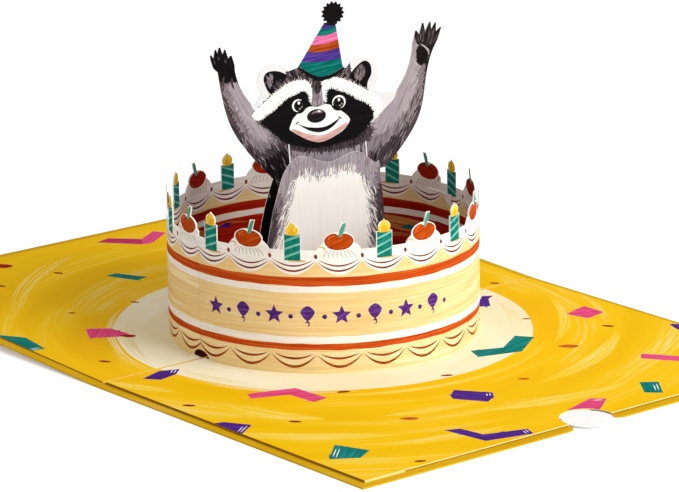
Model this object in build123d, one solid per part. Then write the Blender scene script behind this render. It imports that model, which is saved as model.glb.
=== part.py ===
"""Open pop-up birthday card: a folded card with a note in its pocket, and a raccoon in a paper cake."""
import os
from math import cos, degrees, radians, sin, sqrt, tan

from build123d import *

# Card (millimetres and degrees)
card_width = 178.0  # along the fold
half_depth = 127.0  # from the fold to an outer edge
back_rise = 2.1  # the back half lies this much up from flat
cover_t = 0.5
liner_t = 0.35
liner_margin = 3.2  # cover that shows round the liners
fold_gap = 1.8  # between the two liners along the fold

# Note card, its pocket and the thumb notch
note_width = 140.0
note_end = 15.6  # from the fold to the note's inner end
note_clear = 0.05  # above and below the note
pocket_clear = 1.0  # beside and behind the note
tab_r = 7.8
tab_clear = 0.6  # round the tab in the notch
tab_inset = 4.4  # from the card's edge in to the tab's centre
tab_neck = 12.0
note_hide = 1.5  # the note's body starts this far behind the notch
mouth_round = 4.5

# Cake ring, heights above the liners
ring_r = 49.0  # outside of the wall
wall_t = 0.4
icing_top = 38.8
item_count = 11  # candles and cherries on each half
seam_margin = 6.85  # degrees from the seam to the first item
seam_gap = 0.3
arch_half = 4.2  # cut-out under the wall where it crosses the fold
arch_height = 2.6
lap_degrees = 7.0  # glue lap past the seam
lap_inset = 3.0  # lap's ends from the wall's top and bottom edges
glue_gap = 0.05
foot_count = 3
foot_degrees = 14.0
foot_depth = 7.0

# Candles, cherries and cream along the top edge, with their narrow paper margin
candle_width = 5.2
candle_top = 43.9
flame_r = 2.0
flame_z = 45.1
flame_top = 47.6
cream_half = 7.4
cream_rise = 3.7
cherry_half = 4.8
cherry_z = 41.6
cherry_rise = 2.9
stem_width = 1.5
stem_lean = 1.6
stem_top = 47.4
root_depth = 2.0  # items run this far down into the wall
cut_depth = 1.2  # the die's cut either side of the wall

# Raccoon: s runs across the figure, z up from the table
figure_turn = 20.0  # the figure faces this far round from the card's front
panel_t = 0.4
panel_gap = 9.0  # between the middles of the two panels
panel_foot_depth = 6.0
panel_foot_width = 18.0
figure_foot_start = -18.0
belly_foot_start = -2.0
head = (-0.4, 70.2)
head_half = (20.4, 15.2)
ears = [(-13.6, 10.8), (15.2, 10.6)]  # from the head's middle
ear_r = 5.6
hat_base = [(-5.2, 15.4), (9.0, 14.0)]  # from the head's middle
hat_top = [(6.8, 27.8), (3.2, 28.2)]
pompom_place = (1.0, 3.0)  # from the middle of the hat's top
pompom_r = 3.9
pompom_spikes = 15
spike_depth = 0.8
left_arm_outer = [(-14.8, 50.0), (-22.6, 59.0), (-28.3, 68.2), (-31.0, 78.1), (-32.2, 85.6)]
left_arm_inner = [(-26.6, 85.6), (-24.7, 79.6), (-20.0, 73.1)]
left_arm_root = [(-6.0, 66.0), (-6.0, 50.0)]
right_arm_outer = [(22.2, 50.2), (29.6, 58.6), (34.1, 66.6), (36.3, 78.2), (39.2, 88.0)]
right_arm_inner = [(31.8, 88.9), (30.4, 82.0), (24.8, 72.8), (19.0, 68.0)]
right_arm_root = [(6.0, 66.0), (6.0, 50.0)]
# Paws from the middle of an arm's end: two points at each fingertip and one in each gap
left_paw_side = [(-4.2, 1.4), (-5.0, 4.0)]
left_paw_tips = [[(-5.2, 5.6), (-4.7, 5.6)], [(-3.6, 7.2), (-3.1, 7.2)], [(-2.3, 7.8), (-1.8, 7.8)],
                 [(-0.5, 7.1), (-0.1, 6.9)], [(1.5, 5.0), (1.9, 4.8)]]
left_paw_gaps = [(-4.1, 4.6), (-2.8, 6.0), (-1.1, 5.6), (0.7, 4.2)]
left_paw_heel = [(2.7, 2.0)]
right_paw_side = [(-3.6, 1.2), (-3.0, 3.2)]
right_paw_tips = [[(-2.7, 4.8), (-2.2, 4.9)], [(-0.4, 7.1), (0.1, 7.1)], [(2.1, 7.4), (2.5, 7.3)],
                  [(3.9, 7.0), (4.3, 6.9)], [(5.6, 5.4), (6.0, 5.2)]]
right_paw_gaps = [(-1.4, 3.6), (0.6, 4.5), (2.6, 4.9), (4.2, 4.1)]
right_paw_heel = [(4.7, 1.4)]
cheek_web = [(16.5, 77.0), (21.6, 74.2), (26.2, 74.5), (21.0, 65.0), (12.0, 65.0)]
torso_left = [(-10.0, 60.0), (-14.8, 50.0), (-19.4, 32.8), (-20.8, 18.0), (-18.6, 0.0)]
torso_right = [(17.6, 0.0), (19.4, 18.0), (18.6, 32.8), (19.6, 46.0), (22.2, 53.0)]
belly_left = [(-18.6, 0.0), (-20.8, 18.0), (-19.5, 33.4), (-14.6, 53.0)]
belly_top = [(-14.6, 53.0), (-9.2, 58.7), (1.3, 56.1), (11.0, 58.3), (16.5, 54.5), (17.9, 48.2)]
belly_right = [(17.9, 48.2), (18.8, 36.5), (19.4, 18.0), (17.6, 0.0)]

# Straps between the two panels
slit_places = [-9.2, 16.3]  # across the figure
slit_top = [60.6, 59.2]
slit_length = 18.0
slit_clear = 0.2
hook_out = 4.0  # past the back of the figure panel
strap_below = 8.0  # strap's top under the slit's top
flap_width = 7.0
flap_drop = 1.5  # flap's ends inside the strap's ends

# Levels and directions that follow from the sizes above
front_top = cover_t + 2 * liner_t
back_top = cover_t + liner_t
tilt_back = Rot(back_rise, 0, 0)
inner_r = ring_r - wall_t
item_pitch = (180 - 2 * seam_margin) / (item_count - 1)
notch_r = tab_r + tab_clear
tab_y = -half_depth + tab_inset
tab_reach = tab_r - tab_inset
note_front = tab_y + notch_r + note_hide
note_length = -note_end - note_front
fold_y = (half_depth + tab_reach - half_depth * cos(radians(back_rise))) / 2


def block(x0, x1, y0, y1, z0, z1):
    """A box from its two corners."""
    centre = Pos((x0 + x1) / 2, (y0 + y1) / 2, (z0 + z1) / 2)
    return centre * Box(x1 - x0, y1 - y0, z1 - z0)


def notch():
    """The round thumb notch with a flared mouth, as a cutter through the front half."""
    mouth_half = sqrt(notch_r**2 - tab_inset**2)
    flare_half = mouth_half + mouth_round
    flare_y = -half_depth + mouth_round
    shape = Pos(0, tab_y) * Circle(notch_r)
    shape += Pos(0, -half_depth) * Rectangle(2 * mouth_half, 2 * tab_inset)
    flare = Pos(0, -half_depth) * Rectangle(2 * flare_half, 2 * mouth_round)
    flare -= Pos(-flare_half, flare_y) * Circle(mouth_round)
    flare -= Pos(flare_half, flare_y) * Circle(mouth_round)
    return extrude(shape + flare, front_top, both=True)


def cover():
    """One sheet creased along the fold, seen from its end and drawn along the card."""
    rise = radians(back_rise)
    back_edge = (half_depth * cos(rise), half_depth * sin(rise))
    back_upper = (back_edge[0] - cover_t * sin(rise), back_edge[1] + cover_t * cos(rise))
    crease = (-cover_t * tan(rise / 2), cover_t)
    front_edge = [(-half_depth, cover_t), (-half_depth, 0)]
    section = make_face(Polyline(*front_edge, (0, 0), back_edge, back_upper, crease, close=True))
    return extrude(Plane.YZ * section, card_width / 2, both=True) - notch()


def front_liner():
    """A panel with its sides and fold edge folded under, round a pocket open to the front."""
    half = card_width / 2 - liner_margin
    front = -half_depth + liner_margin
    pocket_half = note_width / 2 + pocket_clear
    pocket_back = -note_end + pocket_clear
    panel = block(-half, half, front, -fold_gap / 2, cover_t, front_top)
    pocket = block(-pocket_half, pocket_half, front, pocket_back, cover_t, cover_t + liner_t)
    return panel - pocket - notch()


def back_liner():
    """The flat panel on the back half, lying on the raised cover."""
    half = card_width / 2 - liner_margin
    return tilt_back * block(-half, half, fold_gap / 2, half_depth - liner_margin, cover_t, back_top)


def note_card():
    """The sliding note with its round pull tab."""
    outline = Pos(0, note_front + note_length / 2) * Rectangle(note_width, note_length)
    outline += Pos(0, (tab_y + note_front) / 2) * Rectangle(tab_neck, note_front - tab_y)
    outline += Pos(0, tab_y) * Circle(tab_r)
    return Pos(0, 0, cover_t + note_clear) * extrude(outline, liner_t - 2 * note_clear)


def ground():
    """Everything below the liners' upper faces, to trim what stands on them."""
    deep = 4 * front_top
    front = block(-card_width, card_width, -half_depth, fold_gap / 2, -deep, front_top)
    back = tilt_back * block(-card_width, card_width, 0, half_depth, -deep, back_top)
    return front + back


def arc_wall(r_out, r_in, start, sweep, z0, z1):
    """An upright curved strip about the ring's axis."""
    section = Plane.XZ * Pos((r_out + r_in) / 2, (z0 + z1) / 2) * Rectangle(r_out - r_in, z1 - z0)
    return Rot(0, 0, start) * revolve(section, Axis.Z, revolution_arc=sweep)


def candle_shape():
    """A striped candle with its flame, standing in the icing."""
    base = icing_top - root_depth
    shape = Pos(0, (base + candle_top) / 2) * Rectangle(candle_width, candle_top - base)
    shape += Pos(0, flame_z) * Circle(flame_r)
    tip = Polyline((-flame_r, flame_z), (flame_r, flame_z), (0, flame_top), close=True)
    return shape + make_face(tip)


def cherry_shape():
    """A swirl of cream with a cherry and its stem."""
    shape = Pos(0, icing_top - root_depth) * Ellipse(cream_half, cream_rise + root_depth)
    shape += Pos(0, cherry_z) * Ellipse(cherry_half, cherry_rise)
    half = stem_width / 2
    foot = [(-half, cherry_z), (half, cherry_z)]
    end = [(stem_lean + half, stem_top), (stem_lean - half, stem_top)]
    return shape + make_face(Polyline(*foot, *end, close=True))


def cake_wall(start, first_is_candle, base):
    """Half of the cake's ring from one seam to the other, with its die-cut top edge."""
    seam = degrees(seam_gap / 2 / ring_r)
    span = (start + seam, 180 - 2 * seam)
    tall = arc_wall(ring_r, inner_r, *span, base, base + flame_top)
    pieces = []
    for k in range(item_count):
        angle = radians(start + seam_margin + k * item_pitch)
        outward = Vector(cos(angle), sin(angle), 0)
        along = Vector(-sin(angle), cos(angle), 0)
        face = Plane(outward * ring_r + Vector(0, 0, base), x_dir=along, z_dir=outward)
        shape = candle_shape() if (k % 2 == 0) == first_is_candle else cherry_shape()
        pieces.append(tall & extrude(face * shape, cut_depth, both=True))
    wall = arc_wall(ring_r, inner_r, *span, 0, base + icing_top).fuse(*pieces)
    arch = Plane.YZ * Pos(0, base) * Ellipse(arch_half, arch_height)
    return wall - extrude(arch, 2 * ring_r, both=True)


def wall_feet(start, base):
    """Glue feet bent inwards under a half ring."""
    step = 180 / foot_count
    first = start + (step - foot_degrees) / 2
    radii = (ring_r - wall_t / 2, ring_r - foot_depth)
    places = [first + k * step for k in range(foot_count)]
    return [arc_wall(*radii, place, foot_degrees, base, base + wall_t) for place in places]


def cake_wall_front():
    """The front half ring; its glue laps reach past both seams inside the back half."""
    wall = cake_wall(180, True, front_top) - ground()
    lap_r = inner_r - glue_gap
    low = front_top + arch_height + lap_inset
    high = front_top + icing_top - lap_inset
    past_seam = block(-ring_r, ring_r, -seam_gap, seam_gap, 0, high)
    laps = []
    for seam_angle, own_side in ((180, 180), (360, 360 - lap_degrees)):
        lap_start = seam_angle - lap_degrees
        laps.append(arc_wall(lap_r, lap_r - wall_t, lap_start, 2 * lap_degrees, low, high))
        joggle = arc_wall(ring_r - wall_t / 2, lap_r - wall_t / 2, own_side, lap_degrees, low, high)
        laps.append(joggle - past_seam)
    return wall.fuse(*laps, *wall_feet(180, front_top))


def cake_wall_back():
    """The back half ring, trimmed to stand on the raised half."""
    wall = cake_wall(0, False, front_top) - ground()
    return wall.fuse(*[tilt_back * foot for foot in wall_feet(0, back_top)])


def upright(shape, place):
    """A panel cut from a flat shape, standing across the figure a distance in front of its middle."""
    return extrude(Plane.XZ.offset(place) * shape, panel_t / 2, both=True)


def moved(start, step):
    """A point a step away from another."""
    return (start[0] + step[0], start[1] + step[1])


def middle(ends):
    """The point half-way between two."""
    return ((ends[0][0] + ends[1][0]) / 2, (ends[0][1] + ends[1][1]) / 2)


def star(centre, points, outer, inner):
    """A round tuft with pointed ends."""
    step = 180 / points
    tips = [(outer, k * step) if k % 2 == 0 else (inner, k * step) for k in range(2 * points)]
    return make_face(Polyline(*[polar(centre, r, a) for r, a in tips], close=True))


def polar(centre, r, angle):
    """A point at a distance and an angle from a centre."""
    return (centre[0] + r * cos(radians(angle)), centre[1] + r * sin(radians(angle)))


def paw(wrist, side, tips, gaps, heel):
    """An open paw from one side of the wrist round its fingertips to the other."""
    fingers = list(tips[0])
    for gap, tip in zip(gaps, tips[1:]):
        fingers += [gap, *tip]
    centre = middle(wrist)
    outline = [moved(centre, step) for step in [*side, *fingers, *heel]]
    return make_face(Polyline(wrist[0], *outline, wrist[1], close=True))


def arm(outer, inner, root):
    """A raised arm between its outer and inner edges, closed inside the torso."""
    edges = Spline(*outer) + Line(outer[-1], inner[0]) + Spline(*inner)
    return make_face(edges + Polyline(inner[-1], *root, outer[0]))


def figure_panel():
    """Head, hat, raised arms and torso in one die-cut panel, with slits for the straps."""
    shape = Pos(*head) * Ellipse(*head_half)
    for place in ears:
        shape += Pos(*moved(head, place)) * Circle(ear_r)
    neck = Polyline(left_arm_root[-1], right_arm_root[-1], head, close=True)
    shape += make_face(neck)
    shape += arm(left_arm_outer, left_arm_inner, left_arm_root)
    shape += arm(right_arm_outer, right_arm_inner, right_arm_root)
    shape += make_face(Polyline(*cheek_web, close=True))
    left_wrist = [left_arm_outer[-1], left_arm_inner[0]]
    right_wrist = [right_arm_inner[0], right_arm_outer[-1]]
    shape += paw(left_wrist, left_paw_side, left_paw_tips, left_paw_gaps, left_paw_heel)
    shape += paw(right_wrist, right_paw_side, right_paw_tips, right_paw_gaps, right_paw_heel)
    base = Line(torso_left[-1], torso_right[0])
    shoulders = Line(torso_right[-1], torso_left[0])
    shape += make_face(Spline(*torso_left) + base + Spline(*torso_right) + shoulders)
    hat = [moved(head, corner) for corner in hat_base + hat_top]
    shape += make_face(Polyline(*hat, close=True))
    pompom = moved(middle(hat[2:]), pompom_place)
    shape += star(pompom, pompom_spikes, pompom_r, pompom_r - spike_depth)
    slit_width = panel_t + 2 * slit_clear
    for place, top in zip(slit_places, slit_top):
        shape -= Pos(place, top - slit_length / 2) * Rectangle(slit_width, slit_length)
    panel = Rot(0, 0, -figure_turn) * upright(shape, -panel_gap / 2) - ground()
    back = panel_gap / 2
    foot_end = figure_foot_start + panel_foot_width
    foot_top = back_top + panel_t
    foot = block(figure_foot_start, foot_end, back, back + panel_foot_depth, back_top, foot_top)
    return panel + tilt_back * (Rot(0, 0, -figure_turn) * foot)


def belly_panel():
    """The rounded belly in front of the torso, with its shoulders above."""
    top = Spline(*belly_top, tangents=[(0.5, 1), (0.1, -1)])
    base = Line(belly_right[-1], belly_left[0])
    shape = make_face(top + Spline(*belly_right) + base + Spline(*belly_left))
    panel = Rot(0, 0, -figure_turn) * upright(shape, panel_gap / 2) - ground()
    front = -panel_gap / 2
    foot_end = belly_foot_start + panel_foot_width
    foot_top = front_top + panel_t
    foot = block(belly_foot_start, foot_end, front - panel_foot_depth, front, front_top, foot_top)
    return panel + Rot(0, 0, -figure_turn) * foot


def spacer(place, top, towards):
    """A strap hooked through a slit of the figure panel, its flap glued behind the belly."""
    high = top - strap_below
    low = top - slit_length + slit_clear
    back = panel_gap / 2 + panel_t / 2 + hook_out
    front = -panel_gap / 2 + panel_t / 2
    half = panel_t / 2
    strap = block(place - half, place + half, front, back, low, high)
    flap_side = sorted([place - towards * half, place + towards * flap_width])
    flap = block(*flap_side, front, front + panel_t, low + flap_drop, high - flap_drop)
    return Rot(0, 0, -figure_turn) * (strap + flap)


nodes = {
    "cover": cover(),
    "front_liner": front_liner(),
    "back_liner": back_liner(),
    "note_card": note_card(),
    "cake_wall_front": cake_wall_front(),
    "cake_wall_back": cake_wall_back(),
    "figure_panel": figure_panel(),
    "belly_panel": belly_panel(),
    "left_spacer": spacer(slit_places[0], slit_top[0], 1),
    "right_spacer": spacer(slit_places[1], slit_top[1], -1),
}
os.makedirs("parts", exist_ok=True)
for name, solid in nodes.items():
    export_step(Pos(0, fold_y, 0) * solid, os.path.join("parts", name + ".step"))
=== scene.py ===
"""Open pop-up birthday card: two printed halves, a die-cut cake ring and a raccoon in a party hat."""
import random
from math import atan2, cos, degrees, hypot, pi, radians, sin

import bpy
import numpy
from mathutils import Matrix, Vector
from mathutils.geometry import delaunay_2d_cdt


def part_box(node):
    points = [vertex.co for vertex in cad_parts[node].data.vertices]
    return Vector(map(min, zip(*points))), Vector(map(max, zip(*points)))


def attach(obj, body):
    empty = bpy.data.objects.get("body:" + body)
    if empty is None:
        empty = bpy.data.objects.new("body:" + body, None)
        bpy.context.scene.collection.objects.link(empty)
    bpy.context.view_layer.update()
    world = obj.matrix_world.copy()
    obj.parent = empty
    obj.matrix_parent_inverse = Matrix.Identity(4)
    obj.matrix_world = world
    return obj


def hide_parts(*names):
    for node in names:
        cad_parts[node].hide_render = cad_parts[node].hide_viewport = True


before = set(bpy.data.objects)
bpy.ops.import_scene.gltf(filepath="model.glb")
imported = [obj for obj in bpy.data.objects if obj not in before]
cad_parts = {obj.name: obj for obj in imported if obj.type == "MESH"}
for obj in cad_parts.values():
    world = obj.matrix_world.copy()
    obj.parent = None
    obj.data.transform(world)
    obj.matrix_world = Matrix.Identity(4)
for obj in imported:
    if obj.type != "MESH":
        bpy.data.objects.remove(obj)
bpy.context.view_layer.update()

# Sizes in millimetres, angles in degrees
MM = 0.001
ring_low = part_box("cake_wall_front")[0]
ring_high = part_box("cake_wall_back")[1]
FOLD_Y = (ring_low.y + ring_high.y) / 2 / MM
RING_R = (ring_high.y - ring_low.y) / 2 / MM
FRONT_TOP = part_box("front_liner")[1].z / MM
BACK_TOP = 0.85  # upper face of the back half while it lies flat
BACK_RISE = 2.1
CARD_HALF = 127.0
LINER_T = 0.35
POCKET_CLEAR = 1.0  # beside and behind the note
PAPER_T = 0.4  # ring and panels
FACE_TOLERANCE = 0.02  # how far a corner may lie from a printed face
SHARP_ANGLE = 35.0
PRINT_UNIT = 100  # millimetres to a unit of print coordinates
WHORL_R = 12  # reach at which hairs round a whorl keep their width

# Cake ring, with heights above the liners
HALF_RING = pi * RING_R
BEND_STEP = 2.0
SEAM_CLOSE = 0.2  # a half ring is this much longer, both ends together, so that its seams close
SEAM_STRETCH = 1 + SEAM_CLOSE / HALF_RING
ITEM_COUNT = 11
SEAM_MARGIN = radians(6.85) * RING_R
ITEM_PITCH = (HALF_RING - 2 * SEAM_MARGIN) / (ITEM_COUNT - 1)
BAND_LOW = 11.7
BAND_HIGH = 25.5
LAP_HALF = 5.9  # glue lap, either side of a seam
LAP_ENDS = (5.6, 35.8)
LAP_CREASE = 1.7
GLUE_LINE = 0.03
FOOT_COUNT = 3
FOOT_SWEEP = 14.0
FOOT_DEPTH = 6.8
FOOT_INSET = 0.2  # from the wall's face to the foot's outer end

# Raccoon, across the figure from its middle and up from the table
FIGURE_TURN = 20.0
PANEL_GAP = 9.0
PANEL_FOOT = (18.0, 6.0)  # width and depth
FIGURE_FOOT_X = -18.0
BELLY_FOOT_X = -2.0
LEFT_SLIT = -9.2
RIGHT_SLIT = 16.3
SLIT_TOPS = (60.6, 59.2)
SLIT_HALF = 0.4
SLOT = 0.36  # the slit's narrow upper end
SLOT_LENGTH = 7.4
WHORL = (0.4, 68.0)  # hair on the head runs away from here

# Stage: places in metres, and the camera's own directions in millimetres
FLOOR_HALF = 6
FLOOR_GLOW = 0.3  # only as the camera sees it
SKY_LIGHT = 0.56
KEY_PLACE = (0.385, -1.058, 0.69)
KEY_SIZE = 0.9
KEY_POWER = 15.6
KEY_TARGET = (0, 0, 0.04)
CAMERA_AZIMUTH = -39.041
CAMERA_HEIGHT = 15.535
CAMERA_ROLL = -0.716
CAMERA_PLACE = (4.74, 26.85, 1303.9)  # right, up and back from the ring's axis
CAMERA_LENS = 219.1

# Card surfaces
INK_ROUGHNESS = 0.65
BARE_ROUGHNESS = 0.6
GLOSS = 0.03
TOOTH = 0.12
TOOTH_HEIGHT = 0.00004
SWIRL_TURNS = 1.6
SWIRL_PATCH = 15.0


def srgb(code):
    """A colour as it reads on a screen, in linear light."""
    parts = [int(code[i:i + 2], 16) / 255 for i in (0, 2, 4)]
    return [c / 12.92 if c <= 0.04045 else ((c + 0.055) / 1.055) ** 2.4 for c in parts] + [1.0]


# Node helpers


def add(tree, kind, inputs=None, **settings):
    """A node with its settings, its inputs given as values or as sockets to link."""
    made = tree.nodes.new(kind)
    for name, value in settings.items():
        setattr(made, name, value)
    for name, value in (inputs or {}).items():
        if isinstance(value, bpy.types.NodeSocket):
            tree.links.new(value, made.inputs[name])
        else:
            made.inputs[name].default_value = value
    return made


def ramp(tree, factor, stops):
    """A colour ramp from a list of places and colours."""
    made = add(tree, "ShaderNodeValToRGB", {"Fac": factor})
    band = made.color_ramp
    while len(band.elements) < len(stops):
        band.elements.new(0.5)
    for element, (place, colour) in zip(band.elements, stops):
        element.position = place
        element.color = colour
    return made.outputs["Color"]


def noise(tree, vector, detail=3.0, roughness=0.6, distortion=0.0):
    """Noise with one cell to a unit of the vector."""
    values = {"Vector": vector, "Scale": 1.0, "Detail": detail, "Roughness": roughness}
    values["Distortion"] = distortion
    return add(tree, "ShaderNodeTexNoise", values).outputs["Fac"]


def span(tree, value, low, high):
    """A value between two limits as a smooth step from none to all."""
    values = {"Value": value, "From Min": low, "From Max": high}
    return add(tree, "ShaderNodeMapRange", values, interpolation_type="SMOOTHSTEP").outputs["Result"]


def mixed(tree, factor, first, second, blend="MIX"):
    """Two colours mixed by a factor."""
    made = add(tree, "ShaderNodeMix", data_type="RGBA", blend_type=blend)
    for socket, value in ((made.inputs[0], factor), (made.inputs[6], first), (made.inputs[7], second)):
        if isinstance(value, bpy.types.NodeSocket):
            tree.links.new(value, socket)
        else:
            socket.default_value = value
    return made.outputs[2]


def sums(tree, operation, first, second=0.0):
    """One step of arithmetic."""
    return add(tree, "ShaderNodeMath", {0: first, 1: second}, operation=operation).outputs[0]


def scaled(tree, vector, scale, location=(0, 0, 0)):
    """A vector moved, then stretched."""
    shifted = add(tree, "ShaderNodeVectorMath", {0: vector, 1: location}, operation="ADD")
    values = {0: shifted.outputs[0], 1: scale}
    return add(tree, "ShaderNodeVectorMath", values, operation="MULTIPLY").outputs[0]


def card_surface(name, roughness=INK_ROUGHNESS):
    """A matt coated card with a fine tooth: the material, its tree, shader and object coordinates."""
    material = bpy.data.materials.new(name)
    material.use_nodes = True
    tree = material.node_tree
    shader = tree.nodes["Principled BSDF"]
    shader.inputs["Roughness"].default_value = roughness
    shader.inputs["Specular IOR Level"].default_value = GLOSS
    place = add(tree, "ShaderNodeTexCoord").outputs["Object"]
    grain = noise(tree, scaled(tree, place, (4000, 4000, 4000)), 2.0)
    values = {"Height": grain, "Strength": TOOTH, "Distance": TOOTH_HEIGHT}
    bump = add(tree, "ShaderNodeBump", values)
    tree.links.new(bump.outputs["Normal"], shader.inputs["Normal"])
    return material, tree, shader, place


def brushed(name, tones, streak_size, spread=0.14, mottle=0.1):
    """Ink laid on with a brush: dark, main and light streaks along the print's own direction."""
    material, tree, shader, place = card_surface(name)
    flow = add(tree, "ShaderNodeUVMap", uv_map="Print").outputs["UV"]
    scale = (PRINT_UNIT / streak_size[0], PRINT_UNIT / streak_size[1], 1)
    streak = noise(tree, scaled(tree, flow, scale), 4.0, 0.65, 0.15)
    dark, main, light = [srgb(tone) for tone in tones]
    ink = ramp(tree, streak, [(0.5 - spread, dark), (0.5, main), (0.5 + spread, light)])
    cloud = noise(tree, scaled(tree, place, (45, 45, 45)), 2.0)
    shade = ramp(tree, cloud, [(0.3, srgb("9A9490")), (0.6, srgb("FFFFFF"))])
    tree.links.new(mixed(tree, mottle, ink, shade, "MULTIPLY"), shader.inputs["Base Color"])
    return material


def around(tree, place, turns, pitch):
    """Coordinates that run round the ring's axis: strokes follow circles, a pitch in millimetres apart."""
    flat = scaled(tree, place, (1, 1, 0), (0, -FOLD_Y * MM, 0))
    unit = add(tree, "ShaderNodeVectorMath", {0: flat}, operation="NORMALIZE").outputs[0]
    reach = add(tree, "ShaderNodeVectorMath", {0: flat}, operation="LENGTH").outputs["Value"]
    values = {0: reach, 1: 1 / (pitch * MM)}
    rings = add(tree, "ShaderNodeMath", values, operation="MULTIPLY").outputs[0]
    lift = add(tree, "ShaderNodeCombineXYZ", {"Z": rings}).outputs[0]
    wide = scaled(tree, unit, (turns, turns, 0))
    return add(tree, "ShaderNodeVectorMath", {0: wide, 1: lift}, operation="ADD").outputs[0]


def swirled(name, base, deep, pale, strength, pitch=1.3):
    """Paint brushed in circles round the cake, with paler dry strokes in patches."""
    material, tree, shader, place = card_surface(name)
    fine = noise(tree, around(tree, place, SWIRL_TURNS, pitch), 4.0, 0.62)
    broad = noise(tree, around(tree, place, SWIRL_TURNS * 0.9, SWIRL_PATCH), 2.0, 0.5, 0.3)
    ground = ramp(tree, broad, [(0.32, srgb(deep)), (0.6, srgb(base))])
    where = span(tree, broad, 0.5, 0.68)
    bristles = span(tree, fine, 0.46, 0.64)
    dry = sums(tree, "MULTIPLY", sums(tree, "MULTIPLY", where, bristles), strength)
    tree.links.new(mixed(tree, dry, ground, srgb(pale)), shader.inputs["Base Color"])
    return material


def plain_card(name, main, deep):
    """Unprinted card with soft fibre clouds."""
    material, tree, shader, place = card_surface(name, BARE_ROUGHNESS)
    cloud = noise(tree, scaled(tree, place, (320, 320, 320)), 4.0, 0.7)
    ink = ramp(tree, cloud, [(0.35, srgb(deep)), (0.65, srgb(main))])
    tree.links.new(ink, shader.inputs["Base Color"])
    return material


# Finishes


# Bare papers: name, main and deeper colour
PAPERS = {
    "paper": ("white_paper", "FCFBF8", "F3F1EC"),
    # White paper toned down to grey: painted shade of the figure's cut edges
    "margin": ("margin_white", "E8E6E6", "E0DEDE"),
    "note": ("note_paper", "FCFBFA", "F4F2F1"),
    # Painted shadow: dark brown for the side edges of the printed halves
    "edge": ("edge_shade", "A87C1C", "946A10"),
    "rim": ("rim_gold", "F9E6AA", "F3DA90"),
    "fold": ("fold_gold", "F4D27C", "EBC468"),
    # Black: painted shade for the pieces in the gap between belly and figure
    "strap": ("strap_black", "1A1718", "121011"),
}
# Paint brushed round the cake: name, ground, deeper and pale colour, strength and pitch of its dry strokes
SWIRLS = {
    "cover": ("cover_gold", "D9A80F", "D09E06", "DFBC55", 0.3),
    "yellow": ("sunny_yellow", "F7C404", "F0B802", "F9DC7E", 0.55),
    "plate": ("plate_cream", "FAF0CE", "F3E6BC", "FDF8E8", 0.7, 2.2),
}
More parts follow.
